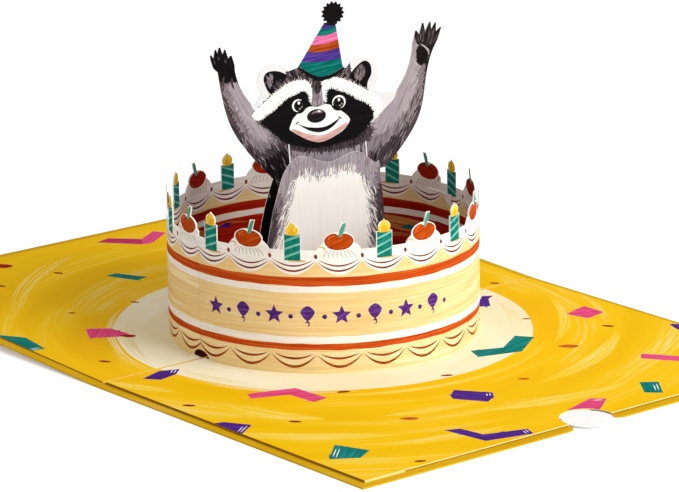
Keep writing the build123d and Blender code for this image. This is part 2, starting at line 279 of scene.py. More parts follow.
# Inks: name, dark, main and light tone, length and width of a streak, spread of the tones and mottling
INKS = {
    "soft": ("yellow_soft", ("F6C408", "F6C924", "F8D656"), (60, 1.4), 0.16, 0.0),
    "pale": ("yellow_pale", ("F7CC28", "F9D966", "FBE8A2"), (60, 0.8), 0.14, 0.0),
    "straw": ("plate_straw", ("E6CC84", "EED798", "F4E2B0"), (30, 0.6)),
    "magenta": ("confetti_pink", ("D43A72", "E4467E", "EC6094"), (20, 1.2)),
    "magenta_deep": ("confetti_rose", ("B02456", "C43066", "D24878"), (20, 1.2)),
    "teal": ("confetti_teal", ("016A64", "047A74", "1B8E86"), (20, 1.2)),
    "purple": ("confetti_purple", ("3C1672", "4C2088", "5E349C"), (20, 1.2)),
    "fleck": ("fleck_rust", ("6E1A08", "8A2C0E", "A4481A"), (4, 0.6)),
    "amber": ("fleck_amber", ("B4440C", "C85A14", "D87828"), (4, 0.6)),
    "crimson": ("fleck_crimson", ("7E0A02", "9A1606", "B42A14"), (4, 0.6)),
    "beige": ("sponge_beige", ("E8C480", "F4D698", "FAE6B4"), (38, 1.1), 0.2),
    # Painted highlight: pale cream strokes on the sponge where the wall is most brightly lit
    "glaze": ("sponge_pale", ("F7E09C", "FBEBB2", "FEF5CC"), (30, 0.8)),
    "swag": ("sponge_light", ("F2D292", "F8DFA8", "FCEBC4"), (20, 1.0)),
    "rust": ("swag_rust", ("7A2A0C", "964010", "B4601F"), (9, 0.5)),
    "stripe": ("jam_stripe", ("B23A0C", "C84C16", "D86C28"), (30, 0.7), 0.17),
    "jam": ("jam_inside", ("8A1204", "A61A06", "BC3012"), (30, 0.7), 0.17),
    "cream": ("icing_white", ("F2EEE8", "FDFBF7", "FFFFFF"), (16, 0.9)),
    # Cream tinted warm: painted bounce light from the red inside of the ring
    "cream_inside": ("icing_inside", ("F4E6D8", "FCF2E6", "FFFAF2"), (16, 0.9)),
    "wine": ("icing_line", ("5E1A14", "7E2A1C", "9C4430"), (7, 0.4)),
    "swirl": ("icing_shade", ("B4AB9E", "C8BFB2", "DAD3C8"), (5, 0.4)),
    "tan": ("icing_tan", ("D5A765", "E4C08A", "EED6AE"), (5, 0.5)),
    "cherry": ("cherry_red", ("A8380A", "B8460C", "C4561A"), (6, 0.9)),
    "cherry_inside": ("cherry_inside", ("861206", "A01E0A", "B63A18"), (6, 0.9)),
    "cherry_glow": ("cherry_orange", ("C84E1C", "D8662C", "E28444"), (6, 0.5)),
    "stem": ("stem_green", ("2A8A78", "4FA08E", "78B8A8"), (6, 0.4)),
    "candle": ("candle_teal", ("06665A", "107A6C", "28907F"), (9, 0.6)),
    "candle_mid": ("candle_mid", ("0C7062", "157E70", "2C9284"), (6, 0.5)),
    "candle_light": ("candle_stripe", ("4FA99B", "74C3B6", "97D6CB"), (6, 0.5)),
    "flame": ("flame_yellow", ("EDB818", "F8D03A", "FDE274"), (5, 0.6)),
    "flame_core": ("flame_orange", ("E4A01A", "EEB42A", "F5C848"), (4, 0.5)),
    "inner_red": ("inner_red", ("880E03", "B01A05", "C62C0C"), (36, 1.3), 0.13),
    "inner_brown": ("inner_brown", ("96380C", "B86618", "CC8630"), (24, 0.7), 0.13),
    "inner_gold": ("inner_gold", ("B05C24", "CC8444", "E6B068"), (24, 0.7), 0.16),
    # Painted shadow: near-black brown on the floor along the foot of the ring's wall
    "inner_deep": ("inner_deep", ("2A0C06", "3A120A", "4A1C10"), (24, 0.9)),
    "violet": ("band_violet", ("43206C", "562C84", "724A9C"), (8, 0.7)),
    "fur": ("fur_mauve", ("8C7F85", "A5989E", "B4A9AE"), (9, 0.5), 0.16),
    "fur_light": ("fur_pale", ("A79CA1", "B7ADB2", "C6BDC1"), (9, 0.5), 0.16),
    "fur_mid": ("fur_grey", ("6A5D62", "84777C", "9A8E93"), (8, 0.45), 0.16),
    "fur_dark": ("fur_brown", ("382E31", "4A3F43", "625659"), (8, 0.45), 0.18),
    "fur_black": ("fur_black", ("100E0F", "1A1617", "33292C"), (7, 0.45), 0.18),
    "black": ("face_black", ("0D0C0C", "121011", "1F1A1B"), (6, 0.5), 0.22),
    "white_fur": ("fur_white", ("F0EADF", "FCF9F1", "FFFEFB"), (6, 0.5), 0.2),
    "muzzle": ("muzzle_white", ("F6F3EE", "FDFCFA", "FFFFFF"), (8, 1.0)),
    "chin": ("chin_pink", ("CE988F", "DAAAA0", "E6C0B6"), (8, 0.8)),
    "nose": ("nose_brown", ("181416", "231C1E", "3A3033"), (5, 1.0)),
    "nose_light": ("nose_light", ("5E4C50", "7E6C70", "A39498"), (4, 0.5)),
    "belly": ("belly_cream", ("F8F3E8", "FDFAF2", "FFFEFA"), (16, 0.7), 0.2, 0.03),
    "hat_teal": ("hat_teal", ("025850", "046A62", "1E8478"), (9, 0.8)),
    "hat_purple": ("hat_purple", ("3A2270", "482E86", "624A9C"), (9, 0.8)),
    "hat_orange": ("hat_orange", ("963608", "AC460E", "C0662E"), (9, 0.8)),
    "hat_pink": ("hat_pink", ("D8568F", "E46CA2", "EE8EB8"), (9, 0.8)),
}


def finishes():
    """Every paper and ink on the card."""
    made = {}
    for make, rows in ((plain_card, PAPERS), (swirled, SWIRLS), (brushed, INKS)):
        made.update({finish: make(*row) for finish, row in rows.items()})
    return made


# Flat shapes


def smooth(points, closed=True, steps=6):
    """A smooth line through the points."""
    count = len(points)
    line = []
    for i in range(count if closed else count - 1):
        if closed:
            a, b, c, d = (points[(i + k) % count] for k in (-1, 0, 1, 2))
        else:
            a, b, c, d = (points[min(max(i + k, 0), count - 1)] for k in (-1, 0, 1, 2))
        for k in range(steps):
            t = k / steps
            weights = (-t + 2 * t**2 - t**3, 2 - 5 * t**2 + 3 * t**3, t + 4 * t**2 - 3 * t**3, t**3 - t**2)
            line.append(tuple(sum(w * p[axis] for w, p in zip(weights, (a, b, c, d))) / 2 for axis in (0, 1)))
    return line if closed else line + [tuple(points[-1])]


def block(left, right, low, high):
    """A rectangle from its sides."""
    return [(left, low), (right, low), (right, high), (left, high)]


def oval(centre, half, turn=0.0, count=32):
    """An ellipse, turned by an angle."""
    c, s = cos(radians(turn)), sin(radians(turn))
    places = [(half[0] * cos(2 * pi * k / count), half[1] * sin(2 * pi * k / count)) for k in range(count)]
    return [(centre[0] + c * x - s * y, centre[1] + s * x + c * y) for x, y in places]


def arc(centre, r, start, end, count=16):
    """Points along a circle between two angles."""
    angles = [radians(start + (end - start) * k / count) for k in range(count + 1)]
    return [(centre[0] + r * cos(a), centre[1] + r * sin(a)) for a in angles]


def hanging(left, right, drop, count=14):
    """A line that hangs between two points."""
    line = []
    for k in range(count + 1):
        t = k / count
        sag = 4 * drop * t * (1 - t)
        line.append((left[0] + (right[0] - left[0]) * t, left[1] + (right[1] - left[1]) * t - sag))
    return line


def sides(line):
    """The left-hand direction at each point of an open line."""
    ways = []
    for k in range(len(line)):
        a, b = line[max(k - 1, 0)], line[min(k + 1, len(line) - 1)]
        length = hypot(b[0] - a[0], b[1] - a[1]) or 1.0
        ways.append(((a[1] - b[1]) / length, (b[0] - a[0]) / length))
    return ways


def stroke(line, width, blunt=0.08):
    """A brush stroke along a line, fullest in the middle and thin at its ends."""
    ways = sides(line)
    last = len(line) - 1
    half = [width / 2 * max(blunt, sin(pi * k / last) ** 0.7) for k in range(last + 1)]
    upper = [(p[0] + w[0] * h, p[1] + w[1] * h) for p, w, h in zip(line, ways, half)]
    lower = [(p[0] - w[0] * h, p[1] - w[1] * h) for p, w, h in zip(line, ways, half)]
    return upper + lower[::-1]


def spaced(outline, pitch):
    """Points an even pitch apart round a closed outline."""
    ends = outline[1:] + outline[:1]
    lengths = [hypot(b[0] - a[0], b[1] - a[1]) for a, b in zip(outline, ends)]
    count = max(8, 2 * round(sum(lengths) / pitch / 2))
    step = sum(lengths) / count
    places = []
    left = 0.0
    for a, b, length in zip(outline, ends, lengths):
        while left < length and len(places) < count:
            t = left / length
            places.append((a[0] + (b[0] - a[0]) * t, a[1] + (b[1] - a[1]) * t))
            left += step
        left -= length
    return places


def fur(points, reach, pitch=1.0, seed=1, lean=0.0):
    """An outline that ends in uneven pointed tufts, slanted along the edge by a lean."""
    draw = random.Random(seed)
    places = spaced(turned_left(smooth(points)), pitch / 4)
    count = len(places)
    tufts = []
    k = 0
    while k < count:
        step = draw.choice((2, 3, 4, 4, 5, 7))
        x, y = places[(k + step // 2) % count]
        out, edge = heading(places, (k + step // 2) % count)
        far = reach * draw.uniform(0.15, 1.0)
        slant = far * (lean + draw.gauss(0, 0.25))
        tufts.append(places[k])
        tufts.append((x + out[0] * far + edge[0] * slant, y + out[1] * far + edge[1] * slant))
        k += step
    return tufts


def heading(places, k):
    """The outward and forward directions at a point of a counter-clockwise outline."""
    a, b = places[k - 1], places[(k + 1) % len(places)]
    length = hypot(b[0] - a[0], b[1] - a[1]) or 1.0
    edge = ((b[0] - a[0]) / length, (b[1] - a[1]) / length)
    return (edge[1], -edge[0]), edge


def fringe(sheet, points, finish, length, pitch, seed, lean=0.0, width=0.24):
    """Single hairs that stand out from an outline."""
    draw = random.Random(seed)
    places = spaced(turned_left(smooth(points)), pitch)
    for k, (x, y) in enumerate(places):
        out, edge = heading(places, k)
        reach = length * draw.uniform(0.35, 1.1)
        slant = lean + draw.gauss(0, 0.35)
        way = (out[0] + edge[0] * slant, out[1] + edge[1] * slant)
        half = width * draw.uniform(0.3, 0.7)
        root = (x - way[0] * length * 0.4, y - way[1] * length * 0.4)
        tip = (x + way[0] * reach, y + way[1] * reach)
        hair = [(root[0] - edge[0] * half, root[1] - edge[1] * half), tip]
        hair.append((root[0] + edge[0] * half, root[1] + edge[1] * half))
        sheet.ink(hair, finish, "front", degrees(atan2(way[1], way[0])))


def inside(spot, field):
    """Whether a point lies in a field."""
    x, y = spot
    odd = False
    for a, b in zip(field, field[1:] + field[:1]):
        if (a[1] > y) != (b[1] > y) and x < a[0] + (b[0] - a[0]) * (y - a[1]) / (b[1] - a[1]):
            odd = not odd
    return odd


def hairs(sheet, field, finish, count, flow, length, seed, on="front", width=0.34):
    """Brush hairs scattered in a field along its flow, or away from a whorl."""
    draw = random.Random(seed)
    low = [min(p[axis] for p in field) for axis in (0, 1)]
    high = [max(p[axis] for p in field) for axis in (0, 1)]
    made = 0
    while made < count:
        x, y = draw.uniform(low[0], high[0]), draw.uniform(low[1], high[1])
        if not inside((x, y), field):
            continue
        made += 1
        along_way = atan2(y - flow[1], x - flow[0]) if isinstance(flow, tuple) else radians(flow)
        turn = along_way + draw.gauss(0, 0.13)
        reach = length * draw.uniform(0.4, 1.15)
        bow = draw.uniform(-0.1, 0.1) * reach
        dx, dy = cos(turn), sin(turn)
        line = []
        for k in range(4):
            t = k / 3 - 0.5
            lift = bow * (1 - 4 * t * t)
            line.append((x + dx * reach * t - dy * lift, y + dy * reach * t + dx * lift))
        sheet.ink(stroke(line, width * draw.uniform(0.6, 1.4)), finish, on, degrees(turn))


def turns_left(points):
    """Whether an outline runs counter-clockwise."""
    return sum(a[0] * b[1] - b[0] * a[1] for a, b in zip(points, points[1:] + points[:1])) > 0


def turned_left(points):
    """The points in counter-clockwise order."""
    return list(points) if turns_left(points) else list(points)[::-1]


def moved(points, x, y):
    """Points shifted across and up."""
    return [(p[0] + x, p[1] + y) for p in points]


def covered(points, spots):
    """The numbers of the spots that an outline turns round."""
    outline = numpy.array(points)
    near = numpy.nonzero(((spots >= outline.min(axis=0)) & (spots <= outline.max(axis=0))).all(axis=1))[0]
    x, y = spots[near].T
    turns = numpy.zeros(len(near), int)
    for (ax, ay), (bx, by) in zip(points, points[1:] + points[:1]):
        left = (bx - ax) * (y - ay) - (x - ax) * (by - ay)
        turns += (ay <= y) & (by > y) & (left > 0)
        turns -= (by <= y) & (ay > y) & (left < 0)
    return near[turns != 0]


class Sheet:
    """A flat printed sheet: paper, cuts in it, and print laid on both sides in order, in millimetres."""

    def __init__(self, thickness, front="paper", back="paper"):
        self.thickness = thickness
        self.base = (front, back)
        self.shapes = []
        self.creases = []
        self.edge = lambda a, b, ink: "paper"

    def paper(self, points):
        """A field of paper in the sheet's own colours."""
        front, back = self.base
        self.shapes.append((turned_left(points), front, back, self.thickness, False, 0.0))

    def cut(self, points):
        """A hole through the sheet."""
        self.shapes.append((turned_left(points), None, None, None, True, 0.0))

    def thin(self, points, thickness):
        """A field where the sheet is thinner, from behind."""
        self.shapes.append((turned_left(points), None, None, thickness, False, 0.0))

    def ink(self, points, finish, on="front", flow=0.0):
        """A printed field. Its brush runs at an angle, away from a point, or round one at a reach."""
        front = finish if on in ("front", "both") else None
        back = finish if on in ("back", "both") else None
        self.shapes.append((turned_left(points), front, back, None, False, flow))

    def crease(self, place, low, high):
        """An upright line where the sheet can bend."""
        self.creases.append(((place, low), (place, high)))

    def follow(self, node, flatten):
        """Take the paper's outline and holes from a CAD node's printed face."""
        for loop in face_loops(node, flatten):
            if turns_left(loop):
                self.paper(loop)
            else:
                self.cut(loop)

    def faces(self):
        """Triangles with their topmost print: corners, and (triangle, front, back, thickness) for each."""
        corners, edges, loops = [], [], []
        for shape in self.shapes:
            start = len(corners)
            corners += [Vector(p) for p in shape[0]]
            loops.append(list(range(start, len(corners))))
        for a, b in self.creases:
            edges.append((len(corners), len(corners) + 1))
            corners += [Vector(a), Vector(b)]
        places, _, triangles, _, _, _ = delaunay_2d_cdt(corners, edges, loops, 0, 1e-4)
        spots = numpy.array([tuple(p) for p in places])[numpy.array(triangles)].mean(axis=1)
        front, back, paper, cut = (numpy.full(len(triangles), -1) for _ in range(4))
        thick = numpy.zeros(len(triangles))
        for number, (points, on_front, on_back, depth, is_cut, _) in enumerate(self.shapes):
            hit = covered(points, spots)
            for layer, used in ((front, on_front), (back, on_back), (cut, is_cut)):
                if used:
                    layer[hit] = number
            if on_front and on_back and depth:
                paper[hit] = number
            if depth:
                thick[hit] = depth
        kept = []
        for k in numpy.nonzero(paper > cut)[0]:
            upper, under = self.shapes[front[k]], self.shapes[back[k]]
            kept.append((triangles[k], (upper[1], upper[5]), (under[2], under[5]), float(thick[k])))
        return places, kept

    def build(self, name, lift=0.0, slide=0.0):
        """A closed mesh: the front at the lift, the back a thickness below, and the cut edges between."""
        places, kept = self.faces()
        points, index = [], {}
        polygons, inks, prints = [], [], []

        def vertex(i, depth):
            key = (i, round(depth, 4))
            if key not in index:
                index[key] = len(points)
                points.append(((places[i].x + slide) * MM, places[i].y * MM, (lift - depth) * MM))
            return index[key]

        def face(keys, ink, flow):
            polygons.append([vertex(i, depth) for i, depth in keys])
            inks.append(ink)
            flat = [places[i] for i, _ in keys]
            middle = sum(flat, Vector((0, 0))) / len(flat)
            prints.extend(along(p, middle, flow) for p in flat)

        owner, levels = {}, {}
        for triangle, _, _, thick in kept:
            for a, b in zip(triangle, triangle[1:] + triangle[:1]):
                owner[(a, b)] = thick
                levels.setdefault(a, set()).add(thick)

        def drop(i, top, thick):
            """The corners of a cut edge at a place, from its top down."""
            steps = sorted(level for level in levels[i] if top < level < thick)
            return [(i, level) for level in [top, *steps, thick]]

        for triangle, front, back, thick in kept:
            face([(i, 0.0) for i in triangle], *front)
            face([(i, thick) for i in reversed(triangle)], *back)
            for a, b in zip(triangle, triangle[1:] + triangle[:1]):
                top = owner.get((b, a), 0.0)
                if thick > top:
                    ink = self.edge(places[a], places[b], front[0])
                    face(drop(a, top, thick) + drop(b, top, thick)[::-1], ink, 0.0)
        return make_mesh(name, points, polygons, inks, prints)


def along(point, middle, flow):
    """Print coordinates: along and across the brush, in tenths of a metre."""
    if isinstance(flow, tuple):
        dx, dy = point.x - flow[0], point.y - flow[1]
        home = atan2(middle.y - flow[1], middle.x - flow[0])
        turn = (atan2(dy, dx) - home + pi) % (2 * pi) - pi + home
        if len(flow) > 2:
            return (turn * flow[2] / PRINT_UNIT, hypot(dx, dy) / PRINT_UNIT)
        return (hypot(dx, dy) / PRINT_UNIT, turn * WHORL_R / PRINT_UNIT)
    c, s = cos(radians(flow)), sin(radians(flow))
    return ((c * point.x + s * point.y) / PRINT_UNIT, (c * point.y - s * point.x) / PRINT_UNIT)


def placed(name, data):
    """A new object in the scene."""
    made = bpy.data.objects.new(name, data)
    bpy.context.scene.collection.objects.link(made)
    return made


def make_mesh(name, points, polygons, inks, prints):
    """A mesh object with a finish for every face and print coordinates at its corners."""
    mesh = bpy.data.meshes.new(name)
    mesh.from_pydata(points, [], polygons)
    used = sorted(set(inks))
    for ink in used:
        mesh.materials.append(FINISH[ink])
    mesh.polygons.foreach_set("material_index", [used.index(ink) for ink in inks])
    layer = mesh.uv_layers.new(name="Print")
    layer.data.foreach_set("uv", [c for p in prints for c in p])
    mesh.polygons.foreach_set("use_smooth", [True] * len(polygons))
    mesh.set_sharp_from_angle(angle=radians(SHARP_ANGLE))
    mesh.update()
    return placed(name, mesh)


def face_loops(node, flatten):
    """Edge loops of a CAD node's printed face, laid flat."""
    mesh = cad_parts[node].data
    flat = [flatten(v.co / MM) for v in mesh.vertices]
    keys = [(round(x, 3), round(y, 3)) for x, y, _ in flat]
    ahead = {}
    for polygon in mesh.polygons:
        corners = list(polygon.vertices)
        if all(abs(flat[i][2]) < FACE_TOLERANCE for i in corners):
            for a, b in zip(corners, corners[1:] + corners[:1]):
                ahead[(keys[a], keys[b])] = True
    follow = {a: b for a, b in ahead if (b, a) not in ahead and a != b}
    loops = []
    while follow:
        start, here = follow.popitem()
        loop = [start]
        while here != start and here in follow:
            loop.append(here)
            here = follow.pop(here)
        loops.append(loop)
    return loops


def join(name, pieces):
    """Several meshes as one piece."""
    bpy.ops.object.select_all(action="DESELECT")
    for piece in pieces:
        piece.select_set(True)
    bpy.context.view_layer.objects.active = pieces[0]
    bpy.ops.object.join()
    pieces[0].name = name
    return pieces[0]


def baked(piece, tree, values):
    """A piece passed through a node tree, as a plain mesh."""
    modifier = piece.modifiers.new("shape", "NODES")
    modifier.node_group = tree
    for item in tree.interface.items_tree:
        if item.item_type == "SOCKET" and item.in_out == "INPUT" and item.name in values:
            modifier[item.identifier] = values[item.name]
    bpy.context.view_layer.update()
    evaluated = piece.evaluated_get(bpy.context.evaluated_depsgraph_get())
    final = bpy.data.meshes.new_from_object(evaluated)
    piece.modifiers.clear()
    piece.data = final
    return piece


def new_tree(name, inputs):
    """An empty geometry tree with named inputs."""
    tree = bpy.data.node_groups.new(name, "GeometryNodeTree")
    tree.interface.new_socket("Geometry", in_out="INPUT", socket_type="NodeSocketGeometry")
    for label, kind in inputs:
        tree.interface.new_socket(label, in_out="INPUT", socket_type="NodeSocket" + kind)
    tree.interface.new_socket("Geometry", in_out="OUTPUT", socket_type="NodeSocketGeometry")
    return tree, tree.nodes.new("NodeGroupInput"), tree.nodes.new("NodeGroupOutput")


def ring_point(tree, angle, reach, height, centre):
    """A point at an angle and reach from the ring's axis."""
    x = sums(tree, "MULTIPLY", reach, sums(tree, "COSINE", angle))
    y = sums(tree, "MULTIPLY", reach, sums(tree, "SINE", angle))
    spot = add(tree, "ShaderNodeCombineXYZ", {"X": x, "Y": y, "Z": height}).outputs[0]
    return add(tree, "ShaderNodeVectorMath", {0: spot, 1: centre}, operation="ADD").outputs[0]


def bend_tree():
    """Bends a flat strip round the ring: along it, up it, and out from it."""
    inputs = [("Radius", "Float"), ("Start", "Float"), ("Base", "Float"), ("Centre", "Vector")]
    tree, given, result = new_tree("bend_round_ring", inputs)
    place = add(tree, "ShaderNodeSeparateXYZ", {0: add(tree, "GeometryNodeInputPosition").outputs[0]})
    turn = sums(tree, "DIVIDE", place.outputs["X"], given.outputs["Radius"])
    angle = sums(tree, "ADD", turn, given.outputs["Start"])
    reach = sums(tree, "ADD", given.outputs["Radius"], place.outputs["Z"])
    height = sums(tree, "ADD", given.outputs["Base"], place.outputs["Y"])
    spot = ring_point(tree, angle, reach, height, given.outputs["Centre"])
    bent = add(tree, "GeometryNodeSetPosition", {"Geometry": given.outputs["Geometry"], "Position": spot})
    tree.links.new(bent.outputs[0], result.inputs[0])
    return tree


def feet_tree():
    """Glue feet under a half ring: arched tabs spread evenly along it."""
    inputs = [
        ("Count", "Int"), ("Sweep", "Float"), ("Depth", "Float"), ("Thickness", "Float"),
        ("Radius", "Float"), ("Start", "Float"), ("Finish", "Material"),
    ]
    tree, given, result = new_tree("glue_feet", inputs)
    size = add(tree, "ShaderNodeCombineXYZ", {"X": given.outputs["Sweep"], "Y": given.outputs["Depth"]})
    tree.links.new(given.outputs["Thickness"], size.inputs["Z"])
    counts = {"Size": size.outputs[0], "Vertices X": 9, "Vertices Y": 2, "Vertices Z": 2}
    tab = add(tree, "GeometryNodeMeshCube", counts)
    place = add(tree, "ShaderNodeSeparateXYZ", {0: add(tree, "GeometryNodeInputPosition").outputs[0]})
    reach = sums(tree, "ADD", given.outputs["Radius"], place.outputs["Y"])
    spot = ring_point(tree, place.outputs["X"], reach, place.outputs["Z"], (0, 0, 0))
    foot = add(tree, "GeometryNodeSetPosition", {"Geometry": tab.outputs["Mesh"], "Position": spot})
    points = add(tree, "GeometryNodePoints", {"Count": given.outputs["Count"]})
    step = sums(tree, "DIVIDE", pi, given.outputs["Count"])
    index = sums(tree, "ADD", add(tree, "GeometryNodeInputIndex").outputs[0], 0.5)
    turn = sums(tree, "ADD", sums(tree, "MULTIPLY", index, step), given.outputs["Start"])
    angles = add(tree, "ShaderNodeCombineXYZ", {"Z": turn}).outputs[0]
    values = {"Points": points.outputs[0], "Instance": foot.outputs[0], "Rotation": angles}
    spread = add(tree, "GeometryNodeInstanceOnPoints", values)
    real = add(tree, "GeometryNodeRealizeInstances", {"Geometry": spread.outputs[0]})
    values = {"Geometry": real.outputs[0], "Material": given.outputs["Finish"]}
    done = add(tree, "GeometryNodeSetMaterial", values)
    tree.links.new(done.outputs[0], result.inputs[0])
    return tree


FINISH = finishes()
BEND = bend_tree()
FEET = feet_tree()
TILT = Matrix.Translation((0, FOLD_Y * MM, 0)) @ Matrix.Rotation(radians(BACK_RISE), 4, "X")
FLAT = Matrix.Translation((0, FOLD_Y * MM, 0))


# Printed halves of the card: places across and up from the middle of the fold


# Paper confetti: finish, outline, brush direction, and the corner of an edge that has bare lines inside it
CONFETTI = [
    ("magenta", [(-3, 118), (3, 119.5), (11.5, 112), (20, 117), (22.5, 113), (12, 106.5), (8, 107)], 20),
    ("magenta_deep", [(-3, 118), (3, 119.5), (11.5, 112), (8, 107)], -40),
    ("teal", [(-22.5, 86), (-18, 86.5), (-12.5, 77), (-17, 76)], -60),
    ("magenta", [(-64.5, 37), (-60, 45.5), (-53.5, 41), (-52, 33), (-55, 32)], 40),
    ("teal", [(-92, 55), (-87, 59.5), (-80, 49.5), (-81.5, 37), (-87, 38)], -70, 3),
    ("purple", [(-75.5, -5.5), (-67, -2.5), (-61, -5), (-65, -8.5), (-72, -10)], 10, 2),
    ("purple", [(-91, -53), (-83, -55.5), (-78.5, -63), (-86, -68), (-92, -62)], -40, 2),
    ("magenta", [(-63, -43), (-61, -38.5), (-46.5, -43.5), (-45.5, -57.5), (-51, -58), (-52, -47.5)], -20),
    ("teal", [(-81.5, -102.5), (-72, -93.5), (-67.5, -104), (-74, -107.5)], 40, 0),
    ("purple", [(-18, -83), (-16.5, -80), (-12, -76.5), (-5, -86), (-7.5, -89.5), (-12, -92)], -55, 3),
    ("purple", [(-39.5, -104), (-35, -106), (-33.5, -114.5), (-20.5, -119), (-22, -123.5), (-37, -119.5)],
     -30, 3),
    ("magenta", [(0, -113.5), (13, -109.5), (16.5, -113), (7, -120)], 15, 1),
    ("teal", [(29, -116), (35, -107.5), (39.5, -111), (33, -120)], 50, 2),
    ("magenta", [(52, -90), (55.5, -86.5), (65.5, -101), (62, -104.5)], -58),
    ("teal", [(15.5, -56), (18, -49.5), (28, -53.5), (39, -46.5), (42.5, -51.5), (29.5, -60.5)], 10),
    ("magenta", [(67, -39.4), (77.4, -36.6), (77.5, -45.8), (69.2, -47.3)], -20),
    ("purple", [(80, -81), (83.5, -69.5), (92, -74), (88, -84)], 60),
    ("purple", [(50, -14), (54, -11.8), (60.5, -6.3), (63.4, -8.4), (59.8, -10.2), (55, -16.6)], 45),
    ("magenta", [(55, 78), (61, 85), (71, 76), (66, 70)], -40, 0),
    ("teal", [(72, 33), (77, 38.5), (85, 29), (80, 24)], -45),
    ("purple", [(24, 83), (34, 88), (37, 82.5), (27, 77)], 25),
    ("teal", [(40, 107), (50, 112.5), (60, 106), (57, 101), (50, 105), (43, 101.5)], 5),
    ("purple", [(77, 112), (83, 117), (90, 108), (84, 103)], -45),
]
FLECKS = [
    (-33, 98), (-54, 61), (-56, 98), (-74, 16), (-31.4, 58), (-81, -36), (-67, -69), (-38, -56),
    (-4, -64), (-63, -121), (54, -35), (68, -58), (74, 3), (48, 62), (82, 60), (15, 98), (66, 96),
    (36, 68),
]
# Larger drops: finish, place and half length
DROPS = [
    ("amber", (44, -66), 3.4), ("amber", (-40, -89), 2.9), ("crimson", (-43.5, 115.5), 4.0),
    ("crimson", (-53.5, 31.5), 2.6), ("amber", (11, -82), 1.9), ("amber", (78, 84), 2.8),
]
DROP_SHAPE = [(-1, 0.1), (-0.3, 0.5), (0.5, 0.45), (0.95, 0), (0.4, -0.5), (-0.4, -0.4)]
# Dry sweeps of the brush round the plate: reach and angle at both ends, width and number of hairs
SWEEPS = [
    ((89, 92), (278, 316), 6.0, 7), ((74, 79), (306, 344), 3.6, 3), ((104, 112), (288, 327), 9.0, 7),
    ((97, 110), (256, 287), 6.0, 6), ((84, 94), (207, 231), 8.0, 7), ((110, 111), (215, 242), 7.0, 6),
    ((133, 134), (229, 244), 6.0, 5), ((120, 115), (239, 258), 5.0, 5), ((93, 91), (242, 262), 4.0, 4),
    ((99, 112), (136, 95), 6.0, 6), ((84, 86), (128, 104), 1.6, 2), ((92, 90), (158, 179), 5.0, 4),
    ((85, 79), (180.5, 197), 5.0, 5), ((71, 72), (226, 300), 3.0, 4), ((82, 84), (20, 62), 5.0, 5),
    ((100, 104), (34, 82), 6.0, 6), ((120, 118), (50, 76), 5.0, 5), ((94, 96), (338, 359), 5.0, 4),
    ((72, 74), (60, 118), 3.0, 3), ((124, 128), (302, 318), 6.0, 5), ((128, 131), (118, 134), 5.0, 4),
]
PLATE_R = 66.0
# Sweeps at the plate's edge: finish, reach, angles, width, hairs and seed
FRONT_PLATE_SWEEPS = [
    ("straw", (62, 63.5), (182, 214), 4.0, 5, 7), ("straw", (60.5, 61.5), (318, 350), 4.0, 5, 8),
    ("plate", (67.2, 67.6), (184, 240), 2.4, 3, 9),
]
BACK_PLATE_SWEEPS = [
    ("straw", (62.5, 63.5), (138, 178), 4.0, 6, 5), ("plate", (67.4, 67.8), (120, 179), 2.6, 3, 6),
]


def plate_outline(seed, reach, wobble):
    """A round field with a brushed edge."""
    draw = random.Random(seed)
    waves = [(n, draw.uniform(0, 2 * pi), wobble / n**0.5) for n in (3, 5, 8, 13)]
    count = 240
    outline = []
    for k in range(count):
        a = 2 * pi * k / count
        r = reach + sum(size * sin(n * a + shift) for n, shift, size in waves)
        outline.append((r * cos(a), r * sin(a)))
    return outline


def brush_line(reach, turn, off):
    """A line round the plate from one reach and angle to another."""
    line = []
    for i in range(33):
        t = i / 32
        r = reach[0] + (reach[1] - reach[0]) * t + off * (0.7 + 0.3 * sin(pi * t))
        a = radians(turn[0] + (turn[1] - turn[0]) * t)
        line.append((r * cos(a), r * sin(a)))
    return line


def sweep(sheet, finish, reach, turn, width, count, seed):
    """A dry brush sweep round the plate: a bundle of thin tapering hairs."""
    draw = random.Random(seed)
    swing = turn[1] - turn[0]
    flow = (0.0, 0.0, sum(reach) / 2)
    for k in range(count):
        start = turn[0] + swing * draw.uniform(0.0, 0.3)
        end = turn[1] - swing * draw.uniform(0.0, 0.3)
        line = brush_line(reach, (start, end), width * ((k + 0.5) / count - 0.5))
        sheet.ink(stroke(line, width / count * draw.uniform(0.25, 0.7)), finish, "front", flow)


def paint_ground(sheet, back_half):
    """Yellow paint with pale dry sweeps, over broad soft ones on the front half."""
    sheet.ink(block(-100, 100, -140, 140), "yellow")
    for number, (reach, turn, width, count) in enumerate(SWEEPS):
        if (turn[0] < 180) == back_half:
            if not back_half:
                flow = (0.0, 0.0, sum(reach) / 2)
                sheet.ink(stroke(brush_line(reach, turn, 0.0), width), "soft", "front", flow)
            sweep(sheet, "pale", reach, turn, width * 0.8, count + 2, 100 + number)


def paint_plate(sheet, back_half):
    """The cream plate with its brushed edge, the dark floor inside the ring, and a painted shadow on that
    floor along the foot of the wall.
    """
    sheet.ink(plate_outline(4, PLATE_R, 0.5), "plate")
    for row in BACK_PLATE_SWEEPS if back_half else FRONT_PLATE_SWEEPS:
        sweep(sheet, *row)
    # The outer ring of this floor is a painted shadow along the foot of the wall
    for reach, finish in ((RING_R - 0.9, "inner_deep"), (RING_R - 11, "inner_red")):
        sheet.ink(oval((0, 0), (reach, reach), 0, 90), finish, "front", (0.0, 0.0, 30.0))
    for k in range(9):
        reach = 6 + 3.4 * k
        start = 57 * k + (0 if back_half else 180)
        sweep(sheet, "inner_brown", (reach, reach + 2), (start, start + 70), 3.0, 3, 40 + k)


